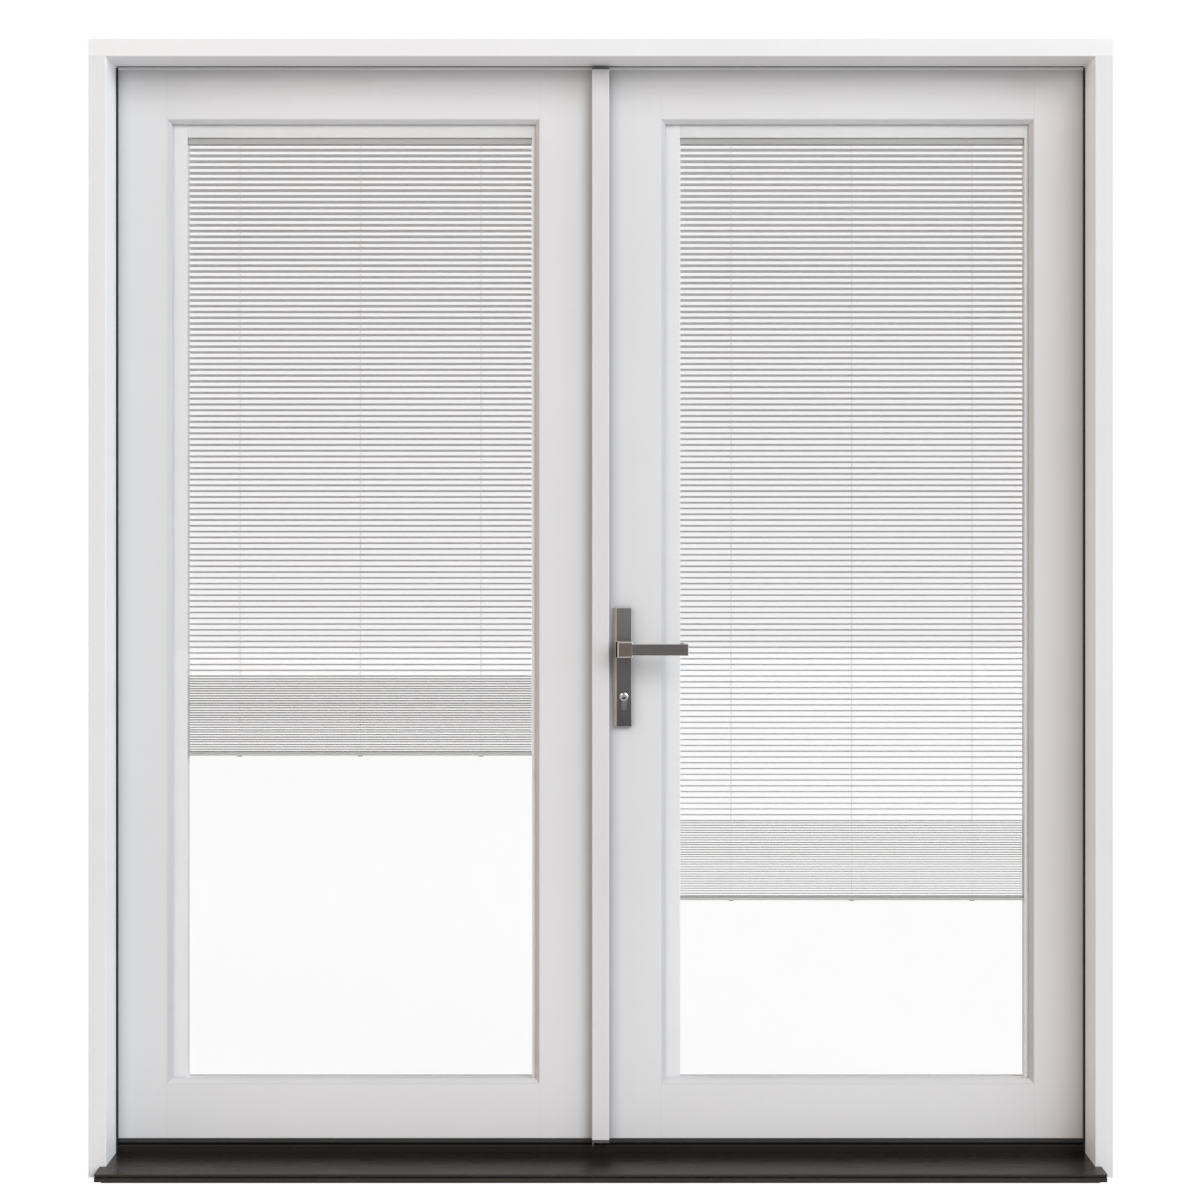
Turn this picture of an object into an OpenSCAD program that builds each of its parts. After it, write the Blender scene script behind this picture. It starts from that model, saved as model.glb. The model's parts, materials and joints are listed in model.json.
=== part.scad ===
// An inswing pair of french doors in its own frame: a passive left leaf with a flat
// astragal, an active right leaf with a lever lock, and a raised blind sealed between
// the two panes of each leaf. X runs along the width, Y from outdoors to the room and
// Z up. The origin is the middle of the sill's underside.

/* [Frame] */
// Overall width of the frame
frame_w = 1810; // [1500:1:2200]
// Overall height of the frame
frame_h = 2012; // [1670:1:2420]
// Depth of the jambs, outdoors to room
frame_d = 116; // [96:1:140]
// Thickness of the jambs and the head at the stop
jamb_t = 31; // [25:0.5:38]
// How deep the rabbet for the leaves is cut into jambs and head
rabbet = 12.7; // [10:0.1:15.5]
// Bevel on the outdoor inner edge of the jambs and the head
jamb_arris = 1; // [0.5:0.1:2]
// Radius of the fixing holes through each jamb
fixing_r = 2.6; // [2.1:0.1:3.2]
// Spacing of the fixing holes
fixing_pitch = 500; // [400:1:540]
// Height of the middle of the row of fixing holes
fixing_mid_z = 1000; // [900:1:1010]

/* [Sill] */
// How far the sill stands out in front of the jambs
sill_nose = 38; // [30:1:46]
// Height of the deck's front edge
sill_front_h = 16.8; // [16:0.1:20.5]
// Slope of the deck in degrees
sill_slope = 4; // [3.3:0.1:4.8]
// Wall of the deck
deck_t = 2.4; // [2:0.1:2.9]
// How far each horn laps in front of a jamb
horn_lap = 11; // [8:0.5:20]
// Height of the threshold riser's top
riser_h = 38; // [36:0.5:46]
// Height of the sill's core under the riser
core_h = 12; // [10:0.5:15]

/* [Leaves] */
// Thickness of a leaf
leaf_t = 44.5; // [41:0.5:54]
// Gap between a leaf's hinge edge and the jamb
hinge_gap = 2.7; // [2.2:0.1:3.3]
// Gap between a leaf's top and the head
head_gap = 3.2; // [2.6:0.1:4]
// Gap between a leaf's bottom and the riser
sweep_gap = 11; // [9:0.5:14]
// Gap between the two meeting edges
meeting_gap = 4; // [3.3:0.1:4.8]
// Width of a hinge stile
hinge_stile_w = 101; // [84:1:122]
// Width of a lock stile, the astragal's stem included
lock_stile_w = 107.4; // [88:0.1:129]
// Height of a top rail
top_rail_h = 100.5; // [83:0.5:121]
// Height of a bottom rail
bottom_rail_h = 99; // [82:1:120]
// Bevel along a leaf's outdoor bottom edge
leaf_arris = 1.5; // [0.5:0.1:2.5]

/* [Glazing] */
// Thickness of a pane
pane_t = 3.2; // [2.6:0.1:4]
// Gap between the two panes of a leaf
cavity = 19; // [17:0.5:21]
// Visible width of a glazing bead
bead_w = 8; // [6.5:0.5:10]
// Gap between a pane's edge and the stiles and rails
pane_gap = 3; // [2:0.5:4]
// Gap where two glazing beads or two spacer bars meet
corner_gap = 0.2; // [0.1:0.05:0.4]
// From the opening's left edge to the inner side of the blind's side channel
channel_in = 34.5; // [29:0.5:42]
// From the opening's right edge to the inner side of the right spacer bar
right_bar_in = 15; // [12:0.5:18]
// From the opening's top edge to the underside of the top spacer bar
top_bar_in = 31; // [26:0.5:38]
// From the opening's bottom edge to the top of the bottom spacer bar
bottom_bar_in = 7; // [6:0.5:12]

/* [Seals] */
// Thickness of the seal between stop and leaf
seal_t = 3; // [2.5:0.1:3.6]
// How far a seal shows past the stop
seal_show = 3.6; // [3:0.1:4.4]
// Clearance under the sweep's fins and beside sliding fits
slack = 0.3; // [0.2:0.05:0.5]

/* [Hinges] */
// Height of a hinge
hinge_h = 102; // [85:1:122]
// Width of a hinge plate, from the leaf's room face
hinge_w = 38; // [31:1:40]
// Thickness of a hinge plate
hinge_t = 3.1; // [2.6:0.1:3.7]
// Outer radius of the knuckle
knuckle_r = 7; // [6:0.1:8.4]
// Radius of the hinge pin
pin_r = 4; // [3.3:0.1:4.8]
// From the leaf's top to the top hinge
hinge_from_top = 178; // [148:1:214]
// From the leaf's bottom to the bottom hinge
hinge_from_bottom = 279; // [232:1:335]
// Clearance between a pin and its knuckles
pin_fit = 0.05; // [0.02:0.01:0.1]

/* [Lock] */
// From the active leaf's meeting edge to the lever's axis
backset = 40; // [38:0.5:48]
// Height of the lever's axis
lever_z = 932; // [850:1:1010]
// From the lever's axis down to the cylinder's axis
cylinder_drop = 85; // [80:1:92]
// Visible width of a handle plate's face
plate_w = 28; // [26:0.5:33]
// Height of a handle plate
plate_h = 214; // [200:1:240]
// Thickness of a handle plate
plate_t = 9; // [7.5:0.5:10.5]
// Width of the sloping edge on the plate's meeting side
plate_flare = 4.8; // [4:0.1:5.7]
// From the lever's axis up to the plate's top
plate_above = 75; // [66:1:86]
// Length of a lever from its axis
lever_l = 114; // [95:1:136]
// Height of a lever's bar
lever_h = 21; // [18:0.5:25]
// Thickness of a lever's bar
lever_t = 10; // [8:0.5:12]
// How far a lever stands out from its plate
lever_out = 51; // [43:1:61]
// How far the latch is drawn in
latch_throw = 12; // [10:0.5:14]
// How far the deadbolt is thrown
deadbolt_throw = 20; // [17:0.5:22]
// Thickness of the lock case
case_t = 16; // [14:0.5:19]

/* [Astragal] */
// Width of the astragal's face
astragal_w = 31; // [26:0.5:37]
// How far the astragal's face stands out from the leaves
astragal_out = 20; // [17:0.5:24]
// Thickness of the stem between the leaves
stem_t = 6; // [5:0.5:7]
// Gap under the astragal's lip for its seal
lip_gap = 4; // [3.3:0.1:4.8]
// How far the astragal's face stops above the leaf's bottom
astragal_foot = 3; // [2:0.5:5]
// Radius of a flush bolt
flush_r = 6; // [5:0.1:7]
// How far the top flush bolt is thrown
top_throw = 16; // [13:0.5:17]
// How far the bottom flush bolt is thrown
bottom_throw = 24; // [20:0.5:26]

/* [Blinds] */
// Width of a slat
slat_w = 12.5; // [10.5:0.1:15]
// Thickness of a slat
slat_t = 0.3; // [0.25:0.01:0.36]
// Crown of a slat
slat_crown = 0.8; // [0.6:0.1:1.6]
// Tilt of the slats in degrees, outdoor edge up
slat_tilt = 10; // [0:1:12]
// Spacing of the hanging slats
slat_pitch = 10.5; // [8.8:0.1:12.6]
// Spacing of the gathered slats
pack_pitch = 4.4; // [3.7:0.1:5.2]
// Number of gathered slats
pack_count = 31; // [26:1:37]
// Height of the left blind's bottom bar above the sill's underside
left_bar_z = 739; // [616:1:886]
// Height of the right blind's bottom bar above the sill's underside
right_bar_z = 477; // [398:1:572]
// Height of a bottom bar
bar_h = 5; // [4.2:0.1:6]
// Height of a head rail
headrail_h = 11; // [9:0.5:13]
// From each end of the slats to the outer ladder cords
ladder_inset = 92; // [77:1:110]
// Radius of a ladder cord
ladder_r = 0.5; // [0.4:0.05:0.6]
// Height of the sliders with the blinds all the way down
slider_top_z = 1728; // [1440:1:1760]

/* [Hidden] */
$fn = 48;

// Colours
paint = "#ebe9ea";
bronze = "#4b4643";
black = "#1c1c1d";
grey_seal = "#a9a8a9";
nickel = "#b4b1ac";
gunmetal = "#716f6f";
chrome = "#d8dadc";
slat_white = "#f2f2f0";

// Planes across the width
frame_x = frame_w / 2;
stop_x = frame_x - jamb_t;
rabbet_x = stop_x + rabbet;
leaf_x = rabbet_x - hinge_gap;
lite_x = leaf_x - hinge_stile_w;
meet_x = meeting_gap / 2;
lite_in_x = meet_x + lock_stile_w;
// Planes from outdoors to the room
front_y = -frame_d / 2;
back_y = frame_d / 2;
leaf_y = back_y - leaf_t;
mid_y = back_y - leaf_t / 2;
stop_y = leaf_y - seal_t;
pane_y = mid_y - cavity / 2 - pane_t;
pane_back_y = mid_y + cavity / 2 + pane_t;
bead_d = pane_y - leaf_y;
// Heights
soffit_z = frame_h - jamb_t;
rabbet_z = soffit_z + rabbet;
leaf_top = rabbet_z - head_gap;
leaf_bottom = riser_h + sweep_gap;
lite_z0 = leaf_bottom + bottom_rail_h;
lite_z1 = leaf_top - top_rail_h;
strip_z = soffit_z - seal_show - 1;

// Sill section
nose_y = front_y - sill_nose;
deck_back_y = leaf_y + 0.5;
nose_lip = [3, 10.6];
nose_groove = 3;
nose_web = 5.5;
deck_edge = 2.8;
riser_lip = [2, 4];
riser_arris = 2;
function deck_z(y) = sill_front_h + (y - nose_y) * tan(sill_slope);

// Seals
kerf_w = 2.4;
kerf_d = 7.5;
kerf_in = 4;
seal_in = 8;
kerf_play = 0.2;

// Hinges
axis_x = leaf_x + hinge_gap / 2;
axis_y = back_y + knuckle_r + slack;
knuckles = 5;
knuckle_h = hinge_h / knuckles;
hinge_zs = [leaf_bottom + hinge_from_bottom + hinge_h / 2,
    (leaf_bottom + hinge_from_bottom + leaf_top - hinge_from_top) / 2,
    leaf_top - hinge_from_top - hinge_h / 2];
screw_zs = [-37, -13, 13, 37] * hinge_h / 102;
screw_y = back_y - hinge_w * 0.47;
screw_r = 2.2;
screw_head_r = 4.4;
screw_l = 17;
screw_play = 0.1;

// Fixing holes
fixing_y = stop_y + fixing_r + 2.4;
fixing_count = 4;

// Lock
axis_lever_x = meet_x + backset;
cylinder_z = lever_z - cylinder_drop;
face_w = 20;
face_t = 3;
case_z = [cylinder_z - 32, lever_z + 43];
face_z = [case_z[0] - 25, case_z[1] + 25];
case_x = [meet_x + face_t, axis_lever_x + 15];
neck_r = 10;
neck_fit = 0.05;
spindle_w = 8;
spindle_fit = 0.2;
follower_r = spindle_w * 0.75;
latch_h = 16;
latch_w = 11;
latch_out = 12;
latch_x1 = meet_x + 20;
bolt_h = 20;
bolt_w = 11;
bolt_z = (lever_z + cylinder_z) / 2 - 9;
bolt_x1 = meet_x + 25;
outer_face_y = leaf_y - plate_t;
inner_face_y = back_y + plate_t;
plate_z0 = lever_z + plate_above - plate_h;
plate_x0 = axis_lever_x - plate_w / 2;
plate_x1 = axis_lever_x + plate_w / 2;
collar = [31.4, 3, 30];
neck_block_w = 28;
neck_chamfer = 2.5;
lever_edge = 0.8;
cylinder_r = 8.5;
cylinder_lobe_w = 10;
cylinder_total_h = 33;
cylinder_proud = 2;
plug_r = 7.5;
cam_r = 15;
cam_t = 10;
turn_d = 24;
turn_l = 18;
plate_screw_r = 2.5;
plate_screw_head_r = 5;
plate_screw_zs = [plate_z0 + 14, plate_z0 + plate_h - 14];

// Astragal
stem_x = [-meet_x - stem_t, -meet_x];
stem_back = 4;
astragal_y = leaf_y - astragal_out;
astragal_z0 = leaf_bottom + astragal_foot;
astragal_z1 = strip_z - 3;
pad_gap = 0.4;
astragal_edge = 1.2;
bulb_w = 6;
foot_pad_h = 6;
foot_tip_w = 4;
strike_t = 2;
strike_y = [mid_y - 12, mid_y + 16];
strike_z = [bolt_z - 24, lever_z + 24];
keeper_slot_back = 8.5;
pocket_x = -meet_x - deadbolt_throw;

// Flush bolts
flush_x = -meet_x - stem_t - 17;
flush_l = 200;
flush_play = 0.05;
tab = [6, 8];
tab_from_end = 170;
hole_play = 0.5;
keeper_w = 28;
keeper_t = 2;

// Blinds
slat_play = 1;
slat_segments = 4;
string_y = slat_w / 2 * cos(slat_tilt) + ladder_r + slack;
bar_w = 12;
plug_w = 8;
cord_plug_h = 2;
slider = [17, 11, 40];
headrail_z = lite_z1 - top_bar_in - headrail_h;

// Solid helpers: outlines are drawn in the plane across the named axis
module along_x(x0, x1) {
    translate([x0, 0, 0]) rotate([90, 0, 90]) linear_extrude(x1 - x0) children();
}
module along_y(y0, y1) {
    translate([0, y1, 0]) rotate([90, 0, 0]) linear_extrude(y1 - y0) children();
}
module along_z(z0, z1) {
    translate([0, 0, z0]) linear_extrude(z1 - z0) children();
}
module block(low, high) {
    translate(low) cube(high - low);
}
module rod_x(x0, x1, y, z, r, r2 = undef) {
    translate([x0, y, z]) rotate([0, 90, 0])
        cylinder(h = x1 - x0, r1 = r, r2 = is_undef(r2) ? r : r2);
}
module rod_y(y0, y1, x, z, r, r2 = undef) {
    translate([x, y0, z]) rotate([-90, 0, 0])
        cylinder(h = y1 - y0, r1 = r, r2 = is_undef(r2) ? r : r2);
}
module rod_z(z0, z1, x, y, r) {
    translate([x, y, z0]) cylinder(h = z1 - z0, r = r);
}
module flip_x() {
    mirror([1, 0, 0]) children();
}

// Frame
module head_jamb() color(paint) difference() {
    union() {
        along_x(-frame_x, frame_x) polygon([[front_y, soffit_z + jamb_arris],
            [front_y + jamb_arris, soffit_z], [stop_y, soffit_z], [stop_y, frame_h],
            [front_y, frame_h]]);
        block([-frame_x, stop_y, rabbet_z], [frame_x, back_y, frame_h]);
    }
    block([-rabbet_x, stop_y - kerf_d, soffit_z + kerf_in],
        [rabbet_x, stop_y + 0.01, soffit_z + kerf_in + kerf_w]);
    rod_z(rabbet_z - 1, rabbet_z + top_throw - head_gap + 2, flush_x, mid_y,
        flush_r + hole_play);
    keeper_seat(rabbet_z);
}

module jamb() color(paint) difference() {
    union() {
        along_z(0, soffit_z) polygon([[stop_x + jamb_arris, front_y],
            [stop_x, front_y + jamb_arris], [stop_x, stop_y], [rabbet_x, stop_y],
            [rabbet_x, back_y], [frame_x, back_y], [frame_x, front_y]]);
        block([rabbet_x, stop_y, soffit_z - 1], [frame_x, back_y, rabbet_z]);
    }
    block([stop_x + kerf_in, stop_y - kerf_d, deck_z(leaf_y)],
        [stop_x + kerf_in + kerf_w, stop_y + 0.01, soffit_z + 1]);
    for (z = hinge_zs) {
        block([rabbet_x - 1, back_y - hinge_w, z - hinge_h / 2],
            [rabbet_x + hinge_t, back_y + 1, z + hinge_h / 2]);
        for (dz = screw_zs)
            rod_x(rabbet_x, rabbet_x + hinge_t + screw_l - 2, screw_y, z + dz,
                screw_r + screw_play);
    }
    for (i = [0 : fixing_count - 1])
        rod_x(rabbet_x - 1, frame_x + 1, fixing_y,
            fixing_mid_z + (i - (fixing_count - 1) / 2) * fixing_pitch, fixing_r);
}
module right_jamb() jamb();
module left_jamb() flip_x() jamb();

// Sill
module deck_section() {
    polygon([[nose_y, deck_z(nose_y) - deck_edge], [nose_y, deck_z(nose_y)],
        [deck_back_y, deck_z(deck_back_y)], [deck_back_y, deck_z(deck_back_y) - deck_t],
        [nose_y + nose_web, deck_z(nose_y + nose_web) - deck_t],
        [nose_y + nose_web, nose_lip[0]], [nose_y, nose_lip[0]], [nose_y, nose_lip[1]],
        [nose_y + nose_groove, nose_lip[1]],
        [nose_y + nose_groove, deck_z(nose_y) - deck_edge]]);
}
module sill_deck() color(bronze) union() {
    along_x(-stop_x, stop_x) deck_section();
    for (side = [-1, 1]) intersection() {
        along_x(side < 0 ? -stop_x - horn_lap : stop_x - 1,
            side < 0 ? 1 - stop_x : stop_x + horn_lap) deck_section();
        block([-frame_w, nose_y - 1, 0], [frame_w, front_y, riser_h]);
    }
}
module sill_core() color("#6b6661") union() {
    along_x(-stop_x, stop_x) polygon([[nose_y + nose_web, 0], [back_y, 0],
        [back_y, core_h], [deck_back_y, core_h],
        [deck_back_y, deck_z(deck_back_y) - deck_t],
        [nose_y + nose_web, deck_z(nose_y + nose_web) - deck_t]]);
    block([-rabbet_x, stop_y, 0], [rabbet_x, back_y, core_h]);
}
module sill_riser() color(bronze) difference() {
    union() {
        along_x(-rabbet_x, rabbet_x) polygon([[deck_back_y, core_h], [back_y, core_h],
            [back_y, riser_h - riser_arris], [back_y - riser_arris, riser_h],
            [deck_back_y, riser_h]]);
        block([seal_show - stop_x + slack, deck_back_y - riser_lip[0],
            riser_h - riser_lip[1]],
            [stop_x - seal_show - slack, deck_back_y + 1, riser_h]);
    }
    rod_z(leaf_bottom - bottom_throw - 2, riser_h + 1, flush_x, mid_y,
        flush_r + hole_play);
    keeper_seat(riser_h - keeper_t);
}

// Seals
module head_weatherstrip() color(grey_seal) along_x(seal_show - stop_x + slack,
    stop_x - seal_show - slack) polygon([[stop_y, strip_z], [leaf_y, strip_z],
        [leaf_y, soffit_z + seal_in], [stop_y, soffit_z + seal_in],
        [stop_y, soffit_z + kerf_in + kerf_w - kerf_play],
        [stop_y - kerf_d + 1, soffit_z + kerf_in + kerf_w - kerf_play],
        [stop_y - kerf_d + 1, soffit_z + kerf_in + kerf_play],
        [stop_y, soffit_z + kerf_in + kerf_play]]);

module jamb_weatherstrip() {
    difference() {
        along_z(deck_z(leaf_y) + slack, soffit_z + seal_in)
            polygon([[stop_x - seal_show, stop_y], [stop_x - seal_show, leaf_y],
                [stop_x + seal_in, leaf_y], [stop_x + seal_in, stop_y],
                [stop_x + kerf_in + kerf_w - kerf_play, stop_y],
                [stop_x + kerf_in + kerf_w - kerf_play, stop_y - kerf_d + 1],
                [stop_x + kerf_in + kerf_play, stop_y - kerf_d + 1],
                [stop_x + kerf_in + kerf_play, stop_y]]);
        block([stop_x, stop_y - kerf_d, soffit_z - slack],
            [frame_x, stop_y, rabbet_z]);
    }
}
module jamb_weatherstrips() color(black) {
    jamb_weatherstrip();
    flip_x() jamb_weatherstrip();
}

// Hinges: the frame plates hold knuckles 1, 3 and 5, the leaf plates 2 and 4
module hinge_plate(plate_x, mine) {
    difference() {
        union() {
            block([plate_x, back_y - hinge_w, -hinge_h / 2],
                [plate_x + hinge_t, back_y - slack, hinge_h / 2]);
            for (i = mine) translate([0, 0, -hinge_h / 2 + i * knuckle_h + slack / 2]) {
                block([plate_x, back_y - slack - 1, 0],
                    [plate_x + hinge_t, axis_y, knuckle_h - slack]);
                rod_z(0, knuckle_h - slack, axis_x, axis_y, knuckle_r);
            }
        }
        rod_z(-hinge_h, hinge_h, axis_x, axis_y, pin_r + pin_fit);
    }
}
module frame_plate() difference() {
    hinge_plate(rabbet_x, [0, 2, 4]);
    for (dz = screw_zs) hinge_screw(dz, screw_play);
}
module hinge_screw(dz, play) {
    rod_x(rabbet_x, rabbet_x + hinge_t, screw_y, dz, screw_head_r + play,
        screw_r + play);
    rod_x(rabbet_x, rabbet_x + hinge_t + screw_l - 3, screw_y, dz, screw_r + play);
}
module hinge_frame_plates() color(nickel) for (z = hinge_zs) translate([0, 0, z]) {
    frame_plate();
    flip_x() frame_plate();
}
module hinge_pin() {
    rod_z(-hinge_h / 2 - 1, hinge_h / 2 + 1, axis_x, axis_y, pin_r);
    for (side = [-1, 1]) translate([axis_x, axis_y, side * (hinge_h / 2 + 1.5)])
        cylinder(h = 3, r = knuckle_r - 0.5, center = true);
}
module hinge_pins() color(nickel) for (z = hinge_zs) translate([0, 0, z]) {
    hinge_pin();
    flip_x() hinge_pin();
}
module hinge_screws() color(nickel) for (z = hinge_zs, dz = screw_zs)
    translate([0, 0, z]) {
        hinge_screw(dz, 0);
        flip_x() hinge_screw(dz, 0);
    }
module hinge_plates() color(nickel) for (z = hinge_zs) translate([0, 0, z])
    hinge_plate(leaf_x - hinge_t, [1, 3]);
module right_hinge_plates() hinge_plates();
module left_hinge_plates() flip_x() hinge_plates();

// Keepers for the flush bolts
module keeper_seat(z) {
    block([flush_x - keeper_w / 2, mid_y - keeper_w / 2, z],
        [flush_x + keeper_w / 2, mid_y + keeper_w / 2, z + keeper_t]);
}
module bolt_keepers() color(nickel) for (z = [rabbet_z, riser_h - keeper_t])
    difference() {
        keeper_seat(z);
        rod_z(z - 1, z + keeper_t + 1, flush_x, mid_y, flush_r + hole_play);
    }

// Leaf framing, drawn on the right-hand side
module leaf_edge(x0, x1) {
    along_x(x0 - 1, x1 + 1) polygon([[leaf_y - 1, leaf_bottom - 1],
        [leaf_y + leaf_arris, leaf_bottom - 1], [leaf_y + leaf_arris, leaf_bottom],
        [leaf_y, leaf_bottom + leaf_arris], [leaf_y - 1, leaf_bottom + leaf_arris]]);
}
module hinge_stile() color(paint) difference() {
    block([lite_x, leaf_y, leaf_bottom], [leaf_x, back_y, leaf_top]);
    leaf_edge(lite_x, leaf_x);
    for (z = hinge_zs) block([leaf_x - hinge_t, back_y - hinge_w, z - hinge_h / 2],
        [leaf_x + 1, back_y + 1, z + hinge_h / 2]);
}
module right_hinge_stile() hinge_stile();
module left_hinge_stile() flip_x() hinge_stile();

module top_rail(x0, x1) color(paint)
    block([x0, leaf_y, lite_z1], [x1, back_y, leaf_top]);
module bottom_rail(x0, x1) color(paint) difference() {
    block([x0, leaf_y, leaf_bottom], [x1, back_y, lite_z0]);
    leaf_edge(x0, x1);
}
module left_top_rail() top_rail(-lite_x, -lite_in_x);
module right_top_rail() top_rail(lite_in_x, lite_x);
module left_bottom_rail() bottom_rail(-lite_x, -lite_in_x);
module right_bottom_rail() bottom_rail(lite_in_x, lite_x);

module left_lock_stile() color(paint) difference() {
    block([-lite_in_x, leaf_y, leaf_bottom], [stem_x[0], back_y, leaf_top]);
    leaf_edge(-lite_in_x, stem_x[0]);
    flush_bolt_room(flush_play);
    strike_pockets();
}
module right_lock_stile() color(paint) difference() {
    block([meet_x, leaf_y, leaf_bottom], [lite_in_x, back_y, leaf_top]);
    leaf_edge(meet_x, lite_in_x);
    block([meet_x - 1, mid_y - face_w / 2, face_z[0]],
        [meet_x + face_t, mid_y + face_w / 2, face_z[1]]);
    block([meet_x, mid_y - case_t / 2, case_z[0]],
        [case_x[1], mid_y + case_t / 2, case_z[1]]);
    rod_y(leaf_y - 1, back_y + 1, axis_lever_x, lever_z, neck_r + 1);
    cylinder_outline(leaf_y - 1, back_y + 1, slack);
    for (z = plate_screw_zs)
        rod_y(leaf_y - 1, back_y + 1, axis_lever_x, z, plate_screw_r + screw_play);
}

// Glazing beads: four bars with mitred ends round an opening
module mitred_bar(length) intersection() {
    along_x(0, length) polygon([[0, 0], [0, 1.2], [bead_d - 2, bead_w],
        [bead_d, bead_w], [bead_d, 0]]);
    along_y(-1, bead_d + 1) polygon([[corner_gap / 2, 0], [length - corner_gap / 2, 0],
        [length - corner_gap / 2 - bead_w, bead_w], [corner_gap / 2 + bead_w, bead_w]]);
}
module bead_ring(x0, x1) {
    wide = x1 - x0;
    tall = lite_z1 - lite_z0;
    translate([x0, 0, lite_z0]) mitred_bar(wide);
    translate([x1, 0, lite_z1]) rotate([0, 180, 0]) mitred_bar(wide);
    translate([x0, 0, lite_z1]) rotate([0, 90, 0]) mitred_bar(tall);
    translate([x1, 0, lite_z0]) rotate([0, -90, 0]) mitred_bar(tall);
}
module outer_beads(x0, x1) color(paint) translate([0, leaf_y, 0]) bead_ring(x0, x1);
module inner_beads(x0, x1) color(paint) translate([0, back_y, 0]) mirror([0, 1, 0])
    bead_ring(x0, x1);
module left_outer_beads() outer_beads(-lite_x, -lite_in_x);
module right_outer_beads() outer_beads(lite_in_x, lite_x);
module left_inner_beads() inner_beads(-lite_x, -lite_in_x);
module right_inner_beads() inner_beads(lite_in_x, lite_x);

// Sealed glass unit
module glass_panes(x0, x1) color("#dfe8ea", 0.35)
    for (y = [pane_y, pane_back_y - pane_t])
        block([x0 + pane_gap, y, lite_z0 + pane_gap],
            [x1 - pane_gap, y + pane_t, lite_z1 - pane_gap]);
module left_glass_panes() glass_panes(-lite_x, -lite_in_x);
module right_glass_panes() glass_panes(lite_in_x, lite_x);

module spacer_bars(x0, x1) color(paint) {
    y0 = pane_y + pane_t;
    y1 = pane_back_y - pane_t;
    z0 = lite_z0 + pane_gap;
    z1 = lite_z1 - pane_gap;
    block([x0 + pane_gap, y0, z0], [x0 + channel_in, y1, z1]);
    block([x1 - right_bar_in, y0, z0], [x1 - pane_gap, y1, z1]);
    mid0 = x0 + channel_in + corner_gap;
    mid1 = x1 - right_bar_in - corner_gap;
    block([mid0, y0, lite_z1 - top_bar_in], [mid1, y1, z1]);
    block([mid0, y0, z0], [mid1, y1, lite_z0 + bottom_bar_in]);
}
module left_spacer_bars() spacer_bars(-lite_x, -lite_in_x);
module right_spacer_bars() spacer_bars(lite_in_x, lite_x);

// Blinds
function slat_x0(x0) = x0 + channel_in + slat_play;
function slat_x1(x1) = x1 - right_bar_in - slat_play;
function ladder_xs(x0, x1) = [slat_x0(x0) + ladder_inset,
    (slat_x0(x0) + slat_x1(x1)) / 2, slat_x1(x1) - ladder_inset];
function crown(t) = slat_crown * (1 - pow(2 * t - 1, 2));
function pack_z(bar_z) = bar_z + bar_h + pack_count * pack_pitch;

module headrail(x0, x1) color(slat_white)
    block([slat_x0(x0), mid_y - bar_w / 2, headrail_z],
        [slat_x1(x1), mid_y + bar_w / 2, headrail_z + headrail_h]);
module left_headrail() headrail(-lite_x, -lite_in_x);
module right_headrail() headrail(lite_in_x, lite_x);

module slat_section() {
    ts = [for (i = [0 : slat_segments]) i / slat_segments];
    rotate(-slat_tilt) polygon(concat(
        [for (t = ts) [(t - 0.5) * slat_w, crown(t)]],
        [for (i = [slat_segments : -1 : 0])
            [(ts[i] - 0.5) * slat_w, crown(ts[i]) - slat_t]]));
}
module slats(x0, x1, zs) color(slat_white)
    for (z = zs) along_x(slat_x0(x0), slat_x1(x1))
        translate([mid_y, z]) slat_section();
module hanging_slats(x0, x1, bar_z) {
    top = headrail_z - 4;
    count = floor((top - pack_z(bar_z)) / slat_pitch);
    slats(x0, x1, [for (i = [0 : count - 1]) top - (i + 0.5) * slat_pitch]);
}
module strings(x0, x1, z0, z1) for (x = ladder_xs(x0, x1), side = [-1, 1])
    rod_z(z0, z1, x, mid_y + side * string_y, ladder_r);
module ladder_cords(x0, x1, bar_z) color(slat_white)
    strings(x0, x1, pack_z(bar_z), headrail_z);
module gathered_slats(x0, x1, bar_z) {
    slats(x0, x1, [for (i = [0 : pack_count - 1])
        bar_z + bar_h + (i + 0.5) * pack_pitch]);
    color(slat_white) strings(x0, x1, bar_z + bar_h, pack_z(bar_z));
}
module bottom_bar(x0, x1, bar_z) color("#8c8b88") union() {
    block([slat_x0(x0), mid_y - bar_w / 2 - 1, bar_z],
        [slat_x1(x1), mid_y + bar_w / 2 + 1, bar_z + bar_h]);
    for (x = ladder_xs(x0, x1))
        block([x - plug_w / 2, mid_y - 3, bar_z - cord_plug_h],
            [x + plug_w / 2, mid_y + 3, bar_z + 1]);
}
module left_hanging_slats() hanging_slats(-lite_x, -lite_in_x, left_bar_z);
module right_hanging_slats() hanging_slats(lite_in_x, lite_x, right_bar_z);
module left_ladder_cords() ladder_cords(-lite_x, -lite_in_x, left_bar_z);
module right_ladder_cords() ladder_cords(lite_in_x, lite_x, right_bar_z);
module left_gathered_slats() gathered_slats(-lite_x, -lite_in_x, left_bar_z);
module right_gathered_slats() gathered_slats(lite_in_x, lite_x, right_bar_z);
module left_bottom_bar() bottom_bar(-lite_x, -lite_in_x, left_bar_z);
module right_bottom_bar() bottom_bar(lite_in_x, lite_x, right_bar_z);

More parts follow.
